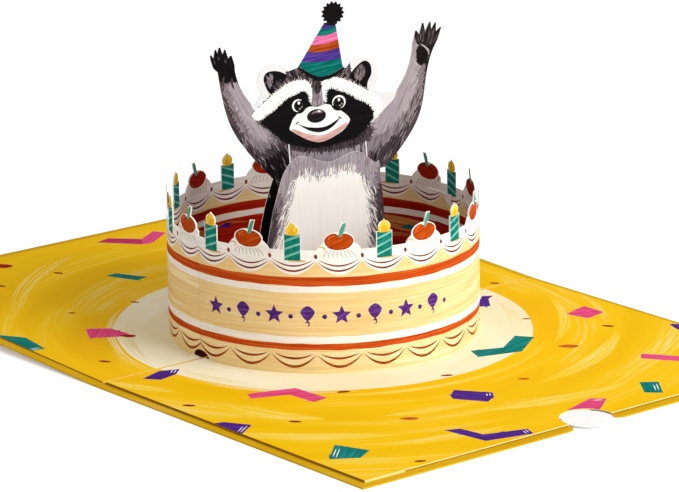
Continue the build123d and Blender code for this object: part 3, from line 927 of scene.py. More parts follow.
def paint_confetti(sheet, back_half):
    """Confetti, small flecks and larger drops on one half."""
    draw = random.Random(21)
    for number, (finish, points, flow, *lined) in enumerate(CONFETTI):
        if (points[0][1] > 0) == back_half:
            sheet.ink(points, finish, "front", flow)
            hairs(sheet, points, finish, 9, flow, 4.6, 60 + number, width=0.5)
            for corner in lined:
                for inset in (0.9, 1.9):
                    sheet.ink(tick(points, corner, inset, draw), "paper")
    for x, y in FLECKS:
        size = draw.uniform(1.3, 2.2)
        turn = draw.uniform(-60, -20)
        if (y > 0) == back_half:
            sheet.ink(oval((x, y), (size, size * 0.45), turn, 14), "fleck", "front", turn)
    for finish, (x, y), size in DROPS:
        if (y > 0) == back_half:
            drop = [(size * (u * 0.8 + v * 0.6), size * (v * 0.8 - u * 0.6)) for u, v in DROP_SHAPE]
            sheet.ink(moved(smooth(drop), x, y), finish)


def paint_half(sheet, back_half):
    """All the print on one half."""
    paint_ground(sheet, back_half)
    paint_plate(sheet, back_half)
    paint_confetti(sheet, back_half)


def tick(points, corner, inset, draw):
    """A bare line left by the brush inside one edge of a confetti piece."""
    a, b = points[corner], points[(corner + 1) % len(points)]
    length = hypot(b[0] - a[0], b[1] - a[1])
    edge = ((b[0] - a[0]) / length, (b[1] - a[1]) / length)
    middle = [sum(p[axis] for p in points) / len(points) for axis in (0, 1)]
    across = edge[0] * (middle[1] - a[1]) - edge[1] * (middle[0] - a[0])
    inward = inset if across > 0 else -inset
    start, end = draw.uniform(0.08, 0.25) * length, draw.uniform(0.7, 0.92) * length
    line = []
    for k in range(6):
        t = start + (end - start) * k / 5
        line.append((a[0] + edge[0] * t - edge[1] * inward, a[1] + edge[1] * t + edge[0] * inward))
    return stroke(line, 0.34)


def liner_edge(a, b, ink):
    """Cut edges of a printed half: dark at the sides as a painted shadow line, golden at the fold and at the
    ends.
    """
    sides_from, fold_within = 70, 5
    # Edges along the sides get the painted shadow line
    if abs(a.x - b.x) < abs(a.y - b.y) and abs(a.x) > sides_from:
        return "edge"
    return "fold" if abs(a.y) < fold_within else "rim"


def front_half():
    """The front printed half over its pocket."""
    sheet = Sheet(2 * LINER_T)
    sheet.edge = liner_edge
    sheet.follow("front_liner", lambda p: (p.x, p.y - FOLD_Y, p.z - FRONT_TOP))
    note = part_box("note_card")
    half = note[1].x / MM + POCKET_CLEAR
    inner = note[1].y / MM - FOLD_Y + POCKET_CLEAR
    sheet.thin(block(-half, half, -CARD_HALF, inner), LINER_T)
    paint_half(sheet, False)
    piece = sheet.build("front_printed_half")
    piece.data.transform(FLAT @ Matrix.Translation((0, 0, FRONT_TOP * MM)))
    return piece


def back_half():
    """The back printed half, lying on the raised cover."""
    flat = TILT.inverted()

    def flatten(p):
        q = flat @ (p * MM) / MM
        return q.x, q.y, q.z - BACK_TOP

    sheet = Sheet(LINER_T)
    sheet.edge = liner_edge
    sheet.follow("back_liner", flatten)
    paint_half(sheet, True)
    piece = sheet.build("back_printed_half")
    piece.data.transform(TILT @ Matrix.Translation((0, 0, BACK_TOP * MM)))
    return piece


# Cake ring: places along the wall and up it


OVERRUN = 12  # stripes run this far past both seams
# Painted stripes: lower and upper edge, finish, side, and what is added to the wall's seed
# cream_inside is the icing tinted warm as painted bounce light from the red inside
STRIPES = [
    (BAND_HIGH, 27.5, "cream", "front", 1), (BAND_HIGH, 27.5, "cream_inside", "back", 8),
    (27.6, 30.4, "stripe", "front", 2), (27.6, 30.4, "jam", "back", 7),
    (9.5, BAND_LOW, "cream", "front", 3), (7.4, 9.4, "stripe", "front", 4),
    (-5, BAND_HIGH, "inner_red", "back", 5),
]
# Piped lines below an item: share of the pitch, height of the ends, drop and width
ICING_LINES = ((0.9, 36.0, 2.1, 0.5), (0.97, 35.4, 3.1, 0.6))
SWAG_LINES = ((0.84, 6.2, 1.5, 0.75), (0.97, 5.9, 3.8, 0.85))
# Confetti inside the ring: finish, angle and height
INSIDE_BITS = [
    ("purple", 92, 23.4), ("teal", 17, 21.2), ("magenta", 128, 15), ("teal", 150, 20), ("magenta", 45, 12),
    ("purple", 66, 9),
]
BIT_SHAPE = [(-3.4, 0.9), (-0.2, 1.2), (3.0, 0), (-0.6, -0.3), (-3.0, -1.2), (-1.6, 0)]
# Brush sweeps inside the ring: angles at both ends, height and width
INSIDE_SWEEPS = [
    (2, 38, 23.4, 2.6), (7, 30, 21.2, 1.6), (12, 36, 18.6, 1.3), (99, 116, 22.6, 3.0), (101, 113, 20.0, 2.0),
    (118, 142, 22.4, 1.6), (40, 70, 23.9, 1.2),
]


def item_place(k):
    """How far along the wall a candle or cherry stands."""
    return SEAM_MARGIN + k * ITEM_PITCH


def wall_seed(start):
    """The seed of a half ring's uneven stripes."""
    return start + 11


def wavy(low, high, seed, wobble=0.14):
    """A painted stripe along the wall with slightly uneven edges."""
    draw = random.Random(seed)
    count = 44
    places = [-OVERRUN + (HALF_RING + 2 * OVERRUN) * k / count for k in range(count + 1)]
    lower = [(u, low + draw.uniform(-wobble, wobble)) for u in places]
    upper = [(u, high + draw.uniform(-wobble, wobble)) for u in places]
    return smooth(lower, False, 3) + smooth(upper, False, 3)[::-1]


def paint_bands(sheet, seed):
    """Sponge, jam and cream stripes with a painted highlight towards one end, and the dark inside of the ring
    below them.
    """
    sheet.ink(wavy(-5, 60, seed, 0), "beige", "both")
    draw = random.Random(seed + 6)
    # Painted highlight: pale strokes, most of them near the end at HALF_RING, the lit right end of the front
    # wall
    for _ in range(24):
        u = HALF_RING * (1 - 0.62 * draw.random() ** 1.5)
        v = draw.uniform(0, 31)
        length = draw.uniform(14, 34)
        line = [(u + length * (k / 10 - 0.5), v + 0.3 * sin(k * 0.5 + u)) for k in range(11)]
        sheet.ink(stroke(line, draw.uniform(0.5, 1.7)), "glaze")
    for low, high, finish, on, step in STRIPES:
        sheet.ink(wavy(low, high, seed + step), finish, on)
    for _ in range(26):
        u = draw.uniform(0, HALF_RING)
        v = draw.uniform(2, BAND_HIGH - 1)
        length = draw.uniform(9, 26)
        line = [(u + length * k / 10, v + 0.5 * sin(k * 0.6 + u)) for k in range(11)]
        sheet.ink(stroke(line, draw.uniform(0.5, 2.2)), "inner_brown", "back")


def piped(sheet, u, lines, finish, on):
    """Piped lines that hang below an item."""
    half = ITEM_PITCH / 2
    for reach, top, drop, width in lines:
        line = hanging((u - half * reach, top), (u + half * reach, top), drop)
        sheet.ink(stroke(line, width), finish, on)


def paint_scallops(sheet):
    """Icing along the top and piped swags along both edges."""
    half = ITEM_PITCH / 2
    scallop = [(-OVERRUN, 60), (-OVERRUN, 35.4)]
    for k in range(-1, ITEM_COUNT + 1):
        u = item_place(k)
        scallop += hanging((u - half, 35.2), (u + half, 35.2), 4.1)[1:]
    scallop.append((HALF_RING + 20, 60))
    sheet.ink(scallop, "cream")
    # Inside, the icing is tinted warm as painted bounce light
    sheet.ink(scallop, "cream_inside", "back")
    swag = [(-half, 6.9)] + hanging((-half, 6.4), (half, 6.4), 4.6) + [(half, 6.9)]
    for k in range(ITEM_COUNT):
        u = item_place(k)
        piped(sheet, u, ICING_LINES, "wine", "both")
        sheet.ink(moved(swag, u, 0), "swag")
        piped(sheet, u, SWAG_LINES, "rust", "front")
        sheet.ink(oval((u + half, 36.9), (0.5, 0.75), 12, 14), "wine", "both")


def candle(sheet, u):
    """A striped candle and its flame."""
    half, slope = 2.45, 1.9
    sheet.ink(moved(oval((1.4, 35.5), (3.0, 0.4), 0, 16), u, 0), "tan", "both")
    sheet.ink(moved(block(-half, half, 35.6, 43.75), u, 0), "candle", "both", 90)
    for low in (36.2, 38.7, 41.2):
        for finish, start, wide in (("candle_mid", 0.4, 1.2), ("candle_light", 0.0, 0.7)):
            end = start + slope
            stripe = [(-half, start), (half, end), (half, end + wide), (-half, start + wide)]
            sheet.ink(moved(stripe, u, low), finish, "both", 22)
    teardrop = [
        (0, 47.5), (-1.15, 46.3), (-1.9, 45.2), (-1.8, 43.6), (1.8, 43.6), (1.9, 45.2), (1.15, 46.3),
    ]
    sheet.ink(moved(smooth(teardrop), u, 0), "flame", "both", 90)
    core = [(0, 45.7), (-0.9, 44.5), (-0.9, 43.5), (0.9, 43.5), (0.9, 44.5)]
    sheet.ink(moved(smooth(core), u, 0), "flame_core", "both", 90)


def cherry(sheet, u):
    """A swirl of cream with a cherry on it, deeper red inside the ring."""
    for k in range(8):
        x = -4.9 + 1.4 * k
        line = smooth([(x * 0.62, 38.9), (x * 0.9, 37.6), (x * 1.02 + 0.3, 36.2)], False, 5)
        sheet.ink(moved(stroke(line, 0.34), u, 0), "swirl", "both")
    curl = smooth([(-6.6, 39.6), (-5.2, 39.9), (-4.3, 39.2), (-5.0, 38.5)], False, 5)
    sheet.ink(moved(stroke(curl, 0.55), u, 0), "tan", "both")
    lobes = [
        (-4.45, 41.5), (-3.7, 43.2), (-1.6, 44.1), (0.1, 43.5), (1.7, 44.0), (3.7, 43.1), (4.45, 41.4),
        (2.9, 39.5), (0, 38.85), (-3.0, 39.5),
    ]
    sheet.ink(moved(smooth(lobes), u, 0), "cherry_inside", "front", 25)
    flesh = [(x * 0.93, 41.5 + (z - 41.5) * 0.9) for x, z in lobes]
    sheet.ink(moved(smooth(flesh), u, 0.05), "cherry", "front", 25)
    sheet.ink(moved(smooth(lobes), u, 0), "cherry_inside", "back", 25)
    glow = smooth([(-3.3, 42.0), (-2.7, 43.0), (-1.4, 43.4)], False, 5)
    sheet.ink(moved(stroke(glow, 0.5), u, 0), "cherry_glow", "front", 40)
    stem = [
        (-0.1, 43.1), (0.15, 44.8), (0.75, 46.3), (1.4, 47.2), (2.1, 47.2), (2.0, 46), (1.5, 44.6),
        (0.8, 43.1),
    ]
    sheet.ink(moved(smooth(stem), u, 0), "stem", "both", 70)


def star(u, v, r):
    """A five-pointed star."""
    tips = [(r if k % 2 == 0 else r * 0.45, radians(90 + 36 * k)) for k in range(10)]
    return [(u + reach * cos(a), v + reach * sin(a)) for reach, a in tips]


def paint_row(sheet):
    """A row of violet stars, balloons and dots on the front of the cake."""
    middle = (BAND_LOW + BAND_HIGH) / 2 - 0.2
    pitch = 10.4
    for k in range(8):
        u = 7.5 + k * pitch
        if k % 2 == 0:
            sheet.ink(star(u, middle, 3.1), "violet", "front", 30)
        else:
            balloon = [(u, middle + 3), (u - 2.2, middle + 1), (u, middle - 1.7), (u + 2.2, middle + 1)]
            sheet.ink(smooth(balloon), "violet")
            sheet.ink([(u - 0.8, middle - 2.4), (u + 0.8, middle - 2.4), (u, middle - 1.4)], "violet")
            tail = smooth([(u, middle - 2.2), (u + 0.5, middle - 2.9), (u - 0.1, middle - 3.6)], False, 4)
            sheet.ink(stroke(tail, 0.4), "violet")
        sheet.ink(oval((u + pitch / 2, middle - 0.4), (0.75, 0.75), 0, 16), "violet")


def paint_inside(sheet):
    """Golden brush sweeps and paper confetti on the inside of the ring."""
    step = radians(1) * RING_R
    for start, end, height, width in INSIDE_SWEEPS:
        line = []
        for k in range(13):
            angle = start + (end - start) * k / 12
            line.append((step * angle, height + 0.3 * sin(k * 0.7 + start)))
        sheet.ink(stroke(line, width), "inner_gold", "back")
    for finish, angle, height in INSIDE_BITS:
        sheet.ink(moved(BIT_SHAPE, step * angle, height), finish, "back", 15)


def seam_edge(a, b, ink):
    """Cut edges of the ring: white, but printed over where the two halves meet."""
    slant, above_arch, near = 0.05, 2.5, 0.5
    upright_edge = abs(a.x - b.x) < slant and min(a.y, b.y) > above_arch
    at_seam = a.x < near or a.x > HALF_RING - near
    return ink if upright_edge and at_seam else "paper"


def glue_lap(name, u, slide, seed):
    """A lap behind a seam, printed as the wall that it carries on."""
    sheet = Sheet(PAPER_T, "paper", "inner_red")
    sheet.paper(block(u - LAP_HALF, u + LAP_HALF, *LAP_ENDS))
    paint_bands(sheet, seed)
    paint_scallops(sheet)
    for k in range(-3, 4):
        sheet.crease(u + LAP_CREASE * k, 0, 40)
    return sheet.build(name, -PAPER_T - GLUE_LINE, slide)


def wall(node, name, start, first_is_candle, laps, front_row):
    """Half of the cake's ring, painted flat and bent round."""
    def flatten(p):
        x, y = p.x, p.y - FOLD_Y
        turn = (atan2(y, x) - radians(start)) % (2 * pi)
        along_wall = HALF_RING / 2 + (turn * RING_R - HALF_RING / 2) * SEAM_STRETCH
        return along_wall, p.z - FRONT_TOP, hypot(x, y) - RING_R

    sheet = Sheet(PAPER_T)
    sheet.follow(node, flatten)
    paint_bands(sheet, wall_seed(start))
    paint_scallops(sheet)
    paint_inside(sheet)
    if front_row:
        paint_row(sheet)
    for k in range(ITEM_COUNT):
        item = candle if (k % 2 == 0) == first_is_candle else cherry
        item(sheet, item_place(k))
    for k in range(1, int(180 / BEND_STEP)):
        sheet.crease(radians(k * BEND_STEP) * RING_R, -3, 50)
    sheet.edge = seam_edge
    pieces = [sheet.build(name)]
    for u, slide in laps:
        pieces.append(glue_lap(name + "_lap", u, slide, wall_seed(180 - start)))
    piece = join(name, pieces)
    values = {"Radius": RING_R * MM, "Start": radians(start), "Base": FRONT_TOP * MM}
    values["Centre"] = (0.0, FOLD_Y * MM, 0.0)
    return baked(piece, BEND, values)


def glue_feet(name, start, level, placing):
    """The bent-in feet of a half ring."""
    piece = placed(name, bpy.data.meshes.new(name))
    reach = RING_R - FOOT_INSET - FOOT_DEPTH / 2
    values = {"Count": FOOT_COUNT, "Sweep": radians(FOOT_SWEEP), "Depth": FOOT_DEPTH * MM}
    values.update({"Thickness": PAPER_T * MM, "Radius": reach * MM, "Start": radians(start)})
    values["Finish"] = FINISH["inner_red"]
    baked(piece, FEET, values)
    piece.data.transform(placing @ Matrix.Translation((0, 0, (level + PAPER_T / 2) * MM)))
    return piece


# Raccoon: places across the figure and up from the table


def upright(front):
    """Stands a flat sheet across the figure, its face a distance behind the figure's middle."""
    turn = Matrix.Rotation(radians(-FIGURE_TURN), 4, "Z")
    stand = Matrix.Rotation(radians(90), 4, "X")
    return FLAT @ turn @ Matrix.Translation((0, front * MM, 0)) @ stand


def paint_arms(sheet):
    """Pale fur of the raised arms, on both sides of the panel."""
    left = [
        (-40, 98), (-24, 98), (-23.5, 79), (-20.6, 72.2), (-17.5, 68.6), (-12, 64), (LEFT_SLIT, 61),
        (LEFT_SLIT, 44), (-40, 44),
    ]
    right = [
        (46, 98), (30, 98), (29.5, 82), (25.5, 72), (20.5, 67.4), (17, 63.8), (RIGHT_SLIT, 60),
        (RIGHT_SLIT, 44), (46, 44),
    ]
    sheet.ink(left, "fur", "both", 118)
    sheet.ink(right, "fur", "both", 66)
    hairs(sheet, left, "fur_light", 60, 120, 6.0, 51, "both", 0.28)
    hairs(sheet, right, "fur_light", 60, 64, 6.0, 55, "both", 0.28)


def shade_left_arm(sheet):
    """Darker fur below the left arm."""
    shade = [
        (-34, 86), (-32, 76), (-29, 66), (-23, 56), (-15, 47), (LEFT_SLIT, 47), (LEFT_SLIT, 61),
        (-13, 63.2), (-17.5, 61.4), (-22, 64.6), (-25.8, 71), (-28.6, 78), (-29.6, 85),
    ]
    sheet.ink(fur(shade, 2.0, 1.2, 4, 0.6), "fur_mid", "both", 118)
    dark = [
        (-34.5, 86), (-32.6, 76), (-30, 66), (-24, 55), (-15, 46), (LEFT_SLIT, 46), (LEFT_SLIT, 59.6),
        (-13.5, 60.4), (-18, 58.6), (-23, 62), (-27, 68.5), (-30, 77),
    ]
    sheet.ink(fur(dark, 2.2, 1.2, 5, 0.6), "fur_dark", "both", 118)
    armpit = [(-26, 55), (-15, 45), (LEFT_SLIT, 45), (LEFT_SLIT, 58.6), (-13, 57.6), (-18, 55.5)]
    sheet.ink(fur(armpit, 2.2, 1.2, 6, 0.5), "fur_black", "both", 126)
    hairs(sheet, shade, "fur_dark", 60, 119, 5.0, 52, "both", 0.26)
    hairs(sheet, shade, "fur", 40, 119, 4.5, 53, "both", 0.26)
    hairs(sheet, dark, "fur_black", 50, 121, 5.0, 54, "both", 0.28)


def shade_right_arm(sheet):
    """Darker fur below the right arm."""
    shade = [
        (38, 84), (36, 66), (31, 57), (22, 46), (RIGHT_SLIT, 46), (RIGHT_SLIT, 59), (21, 60.6),
        (26, 63.8), (30.5, 68.4), (33.4, 74), (34.6, 81.4),
    ]
    sheet.ink(fur(shade, 1.8, 1.2, 8, -0.6), "fur_mid", "both", 64)
    dark = [
        (38, 83), (37, 66), (32, 57), (22, 46), (RIGHT_SLIT, 46), (RIGHT_SLIT, 54), (22, 57), (27, 60.4),
        (32, 65.6), (35.2, 72.5), (35.9, 79),
    ]
    sheet.ink(fur(dark, 1.6, 1.2, 9, -0.6), "fur_dark", "both", 64)
    hairs(sheet, shade, "fur_dark", 60, 66, 5.0, 56, "both", 0.26)
    hairs(sheet, shade, "fur", 40, 66, 4.5, 57, "both", 0.26)
    hairs(sheet, dark, "fur_black", 45, 64, 5.0, 58, "both", 0.28)


def paint_left_paw(sheet):
    """The black left paw."""
    paw = [(-40, 98), (-20, 98), (-24.6, 83.6), (-28.5, 82.5), (-33, 84.0)]
    sheet.ink(fur(paw, 1.5, 1.0, 7), "black", "both", 100)
    pads = (((-31.8, 90.0), (0.3, 0.6), 8), ((-29.6, 88.9), (0.4, 0.7), 4), ((-33.2, 89.0), (0.2, 0.9), 14))
    for centre, half, turn in pads:
        sheet.ink(oval(centre, half, turn, 14), "fur_dark", "both", 100)
    for line in ([(-30.2, 84.2), (-30.5, 82.2), (-30.2, 80.4)], [(-27.6, 83.6), (-27.6, 81.6), (-27, 79.8)]):
        sheet.ink(stroke(smooth(line, False), 0.8), "fur_dark", "both", 100)


def paint_right_paw(sheet):
    """The right paw with its bare palm."""
    hand = [
        (28, 99), (46, 99), (41.8, 90), (39.2, 87.4), (38.2, 86.0), (37.2, 87.2), (35.8, 88.4),
        (34.0, 88.7), (33.3, 89.4), (32.6, 91.2),
    ]
    sheet.ink(fur(hand, 0.5, 0.8, 10), "nose", "both", 72)
    for x, tip in ((33.3, 92.2), (35.4, 94.2), (37.6, 94.2), (39.2, 93.8), (40.6, 92.2)):
        root = (36 + (x - 36) * 0.6, 88.8)
        finger = [root, ((root[0] + x) / 2, (root[1] + tip) / 2), (x, tip)]
        sheet.ink(stroke(finger, 0.55), "fur_dark", "both", 75)
    hairs(sheet, hand, "fur_mid", 14, 76, 2.4, 59, "both", 0.2)
    pad = [
        (33.4, 87.7), (34.4, 88.4), (35.8, 87.7), (36.7, 86.5), (37.1, 85.3), (36.8, 84.1), (36.1, 82.9),
        (34.7, 82.1), (33.7, 83.1), (33.2, 85.1),
    ]
    sheet.ink(fur(pad, 0.5, 0.7, 11), "fur_black", "both", 72)
    hairs(sheet, pad, "black", 12, 78, 3.0, 79, "both", 0.4)
    heel = smooth([(37.7, 87.0), (37.7, 84.6), (36.7, 82.4), (36.4, 79.8)], False)
    sheet.ink(stroke(heel, 1.0), "fur_black", "both", 80)
    palm = [(34.6, 88.9), (35.9, 88.0), (37.1, 86.6), (37.4, 85.6)]
    wrist = [(32.2, 83.8), (33.1, 82.7), (34.5, 81.3)]
    for line in (palm, wrist):
        sheet.ink(stroke(smooth(line, False), 0.5, 0.3), "fur_light", "both", 72)


def close_slit(sheet, place, top):
    """Paper either side of the narrow slanted end of a slit, above its strap."""
    left, right, low = place - SLIT_HALF, place + SLIT_HALF, top - SLOT_LENGTH
    sheet.paper([(left, top), (left, low), (right - SLOT, low)])
    sheet.paper([(left + SLOT, top), (right, low), (right, top)])


def paint_torso(sheet):
    """The body behind the belly in black fur, darkened as painted shade of the narrow gap behind the belly.
    """
    # Black here is painted shade of the gap between belly and figure
    sheet.ink([(-26, -4), (26, -4), (26, 46), (17, 62), (-9, 62), (-26, 46)], "fur_black", "both", 90)


def paint_chest(sheet):
    """The chest between the slits."""
    chest = [(LEFT_SLIT, 44), (RIGHT_SLIT, 44), (RIGHT_SLIT, 61), (12, 66), (-6, 66), (LEFT_SLIT, 61)]
    sheet.ink(chest, "fur", "both", 88)
    hairs(sheet, chest, "fur_light", 50, 88, 4.0, 61, "both", 0.26)
    upper = block(LEFT_SLIT, RIGHT_SLIT, 56, 63)
    hairs(sheet, upper, "fur_mid", 50, 88, 4.0, 60, "both", 0.28)
    shade = [
        (LEFT_SLIT, 59.4), (-4, 58), (3, 57.4), (10, 58), (RIGHT_SLIT, 59.6), (RIGHT_SLIT, 64),
        (LEFT_SLIT, 64),
    ]
    sheet.ink(fur(shade, 1.6, 0.8, 68), "fur_dark", "both", 88)
    hairs(sheet, upper, "fur_dark", 40, 88, 3.4, 62, "both", 0.24)
    hairs(sheet, shade, "fur_black", 40, 88, 2.6, 78, "both", 0.26)
    left = [(LEFT_SLIT, 46), (-6.5, 46), (-7, 60), (LEFT_SLIT, 60)]
    right = [(13.5, 46), (RIGHT_SLIT, 46), (RIGHT_SLIT, 60), (14, 60)]
    for field, flow, seed in ((left, 86, 63), (right, 94, 64)):
        hairs(sheet, field, "fur_dark", 24, flow, 4.0, seed, "both", 0.28)


def paint_crown(sheet):
    """Dark fur on the top of the head."""
    crown = [
        (-21.4, 70.6), (-19.3, 72.9), (-17.0, 75.0), (-14.7, 77.2), (-12.6, 80.0), (-10.2, 82.9),
        (-8.6, 85.4), (-6.4, 87), (-4, 87), (1.5, 86), (8.6, 86.4), (10.8, 85.2), (11.4, 81.6),
        (13, 79.4), (16.4, 76.2), (17.6, 73), (17, 66), (0, 62), (-14, 65),
    ]
    sheet.ink(fur(crown, 0.8, 1.0, 12), "fur_dark", "front", WHORL)
    top = [
        (-14, 77), (-9, 83), (-6, 85), (0, 81), (9, 84), (12, 80), (15, 76.5), (8, 79), (0, 77), (-8, 79),
    ]
    hairs(sheet, top, "black", 70, WHORL, 3.2, 65)
    hairs(sheet, top, "fur_mid", 60, WHORL, 3.0, 66)


def paint_ears(sheet):
    """Black ears with paler hair inside."""
    ear = [
        (-15.0, 77.2), (-17.3, 81.4), (-16.6, 83.9), (-14.2, 84.5), (-11.8, 84.0), (-9.8, 82.6),
        (-11.3, 80.6),
    ]
    sheet.ink(smooth(ear), "black", "front", 60)
    outer = [(-16.8, 80.6), (-16.2, 83.5), (-14.4, 83.2), (-14.6, 79.2)]
    inner = [(-14.4, 78.4), (-12, 81.6), (-10.8, 80.8), (-13.4, 77.8)]
    hairs(sheet, outer, "fur_mid", 26, 110, 2.2, 67)
    hairs(sheet, inner, "fur_dark", 16, 130, 2.4, 68)
    ear = [
        (11.0, 80.6), (12.8, 83.3), (15.7, 85.2), (17.7, 84.0), (18.1, 81.0), (16.9, 78.4), (16.2, 76.0),
        (13, 78.6),
    ]
    sheet.ink(smooth(ear), "black", "front", 110)
    hollow = [(12.4, 81.2), (14.2, 83.6), (15.9, 83.2), (15.8, 80.6), (14.4, 79.2), (13.2, 79.6)]
    sheet.ink(fur(hollow, 0.5, 0.8, 13), "fur_dark", "front", 110)
    hairs(sheet, hollow, "fur_mid", 22, 75, 2.2, 69)


def paint_brows(sheet):
    """White brows that run out over the cheeks."""
    left = [
        (-1.6, 72.6), (-1.7, 76.8), (-2.3, 79.3), (-3.7, 80.4), (-6.4, 80.6), (-9.0, 80.2), (-12.9, 77.9),
        (-17.4, 74.4), (-21.2, 71.1), (-19.0, 69.3), (-14.5, 71.6), (-9.9, 74.8), (-5.3, 76.5),
        (-3.2, 74.5),
    ]
    right = [
        (2.7, 72.4), (1.5, 76.0), (1.5, 78.4), (2.0, 79.9), (3.6, 80.7), (6.9, 80.4), (10.0, 79.2),
        (14.5, 76.8), (17, 75.2), (19.6, 73.4), (21.4, 71.2), (21, 68.6), (19.4, 66.6), (18, 68),
        (16.8, 70.0), (12.4, 72.6), (6.9, 75.6), (4, 74),
    ]
    for number, brow in enumerate((left, right)):
        sheet.ink(fur(brow, 0.6, 0.8, 14 + number, 0.3), "white_fur", "front", WHORL)
        fringe(sheet, brow, "white_fur", 1.2, 0.45, 70 + number, lean=0.2)


def paint_mask(sheet):
    """The black mask round the eyes, with ragged fur along the jaw."""
    mask = [
        (-2.5, 73.4), (-3.0, 75.4), (-4.1, 76.9), (-6.5, 76.3), (-9.9, 74.8), (-13.6, 71.9),
        (-18.0, 68.8), (-16.7, 67.0), (-13.6, 64.4), (-10.6, 61.6), (-5.6, 59.8), (0.5, 58.8),
        (6.7, 59.7), (13.2, 61.2), (16.8, 64.6), (18.6, 67.6), (16.8, 70.8), (12.4, 73.3), (9.9, 75.0),
        (6.9, 76.2), (5.0, 77.0), (3.7, 76.4), (3.4, 74.8), (3.3, 72.8), (0.5, 69),
    ]
    jaw = [
        (-14.6, 65.4), (-10.6, 61.6), (-5.6, 59.8), (0.5, 58.8), (6.7, 59.7), (13.2, 61.2), (17.2, 65.2),
        (1, 64),
    ]
    fringe(sheet, jaw, "fur_dark", 3.2, 0.5, 76, lean=0.1, width=0.3)
    fringe(sheet, jaw, "fur_black", 2.4, 0.45, 77, lean=-0.1, width=0.3)
    fringe(sheet, mask, "fur_black", 1.5, 0.4, 72, lean=0.1)
    sheet.ink(fur(mask, 0.6, 0.8, 18), "black", "front", WHORL)
    fringe(sheet, mask, "black", 1.1, 0.4, 73, lean=-0.1)


def paint_forehead(sheet):
    """The grey strip between the brows."""
    strip = [
        (-1.3, 79.0), (0.2, 79.8), (1.4, 78.6), (1.9, 74.6), (2.5, 72.2), (0.2, 72.4), (-1.6, 72.4),
        (-1.4, 75),
    ]
    sheet.ink(fur(strip, 0.4, 0.8, 19), "fur_mid", "front", 90)
    hairs(sheet, strip, "fur_light", 16, 90, 2.2, 74, width=0.28)
    dark = [(-1.2, 79.4), (0.2, 80.2), (1.3, 79.0), (1.2, 77.4), (0.1, 76.0), (-0.9, 77.4)]
    sheet.ink(fur(dark, 0.8, 0.8, 20), "fur_dark", "front", 90)
    hairs(sheet, dark, "fur_black", 14, 92, 2.4, 75, width=0.26)


def paint_muzzle(sheet):
    """White muzzle, pink chin, smile and nose."""
    muzzle = [
        (-9.1, 65.5), (-8.5, 67.3), (-7.8, 68.8), (-6.3, 70.2), (-4.2, 71.3), (-2.2, 72.1), (0.1, 71.8),
        (2.6, 72.4), (4.7, 71.9), (7.1, 70.4), (9.4, 68.7), (10.8, 66.9), (10.1, 65.2), (8.6, 63.6),
        (6.7, 62.4), (3.6, 61.0), (0.6, 60.4), (-2.5, 61.2), (-5.5, 62.8), (-7.9, 64.4),
    ]
    sheet.ink(smooth(muzzle), "muzzle", "front", 20)
    chin = [
        (-8.7, 65.2), (-7.2, 65.2), (-4.3, 63.8), (0.6, 62.6), (4.6, 63.4), (9.4, 65.9), (10.0, 65.1),
        (8.4, 63.6), (6.6, 62.4), (3.6, 61.0), (0.6, 60.4), (-2.5, 61.2), (-5.5, 62.8), (-7.8, 64.4),
    ]
    sheet.ink(smooth(chin), "chin", "front", 10)
    mouth = [
        (-6.5, 67.0), (-3.6, 65.7), (0.6, 65.1), (3.8, 65.6), (7.4, 67.5), (5.6, 65.4), (3.1, 64.0),
        (0.3, 63.6), (-3.0, 64.6),
    ]
    sheet.ink(smooth(mouth), "black", "front", 10)
    tongue = [(-2.4, 64.9), (0.4, 64.5), (3.4, 64.9), (2.4, 64.2), (0.3, 63.9), (-1.4, 64.2)]
    sheet.ink(smooth(tongue), "nose", "front", 0)
    sheet.ink(stroke([(-7.1, 66.7), (-6.6, 67.2), (-5.9, 67.6)], 0.5, 0.4), "black")
    sheet.ink(stroke([(6.9, 68.0), (7.5, 67.7), (8.1, 67.3)], 0.5, 0.4), "black")
    sheet.ink(oval((-0.2, 68.9), (3.15, 2.2), 3), "nose", "front", 10)
    gleam = [(-1.9, 69.6), (-0.6, 70.6), (1.0, 70.7), (2.0, 69.9), (0.6, 69.7), (-0.6, 69.9)]
    sheet.ink(smooth(gleam), "nose_light", "front", 10)
    sheet.ink(oval((0.7, 70.35), (0.5, 0.3), -20, 14), "muzzle")


def paint_eyes(sheet):
    """Round dark eyes, each with a white rim and three gleams."""
    eyes = (((-6.0, 72.7), 2.0, 60, 262), ((7.2, 72.6), 2.1, -68, 205))
    for (x, z), r, start, end in eyes:
        sheet.ink(oval((x, z), (r + 0.5, r + 0.6)), "black")
        sheet.ink(stroke(arc((x, z), r - 0.1, start, end, 28), 0.62, 0.35), "muzzle")
        sheet.ink(oval((x, z), (r - 0.5, r - 0.4)), "nose", "front", 90)
        sheet.ink(oval((x + 0.05, z + 0.25), (r - 0.85, r - 0.9)), "black")
        sheet.ink(oval((x + 0.05, z + 0.85), (0.42, 0.5), 0, 16), "muzzle")
        sheet.ink(oval((x + 0.35, z - 1.0), (0.26, 0.24), 0, 12), "swirl")
        sheet.ink(oval((x + 1.0, z - 0.5), (0.2, 0.2), 0, 12), "swirl")


def hat_line(left, right):
    """The sagging line between two stripes, a little longer than the hat is wide."""
    middle = ((left[0] + right[0]) / 2, (left[1] + right[1]) / 2 - 0.7)
    return [(left[0] - 1, left[1]), middle, (right[0] + 1, right[1])]


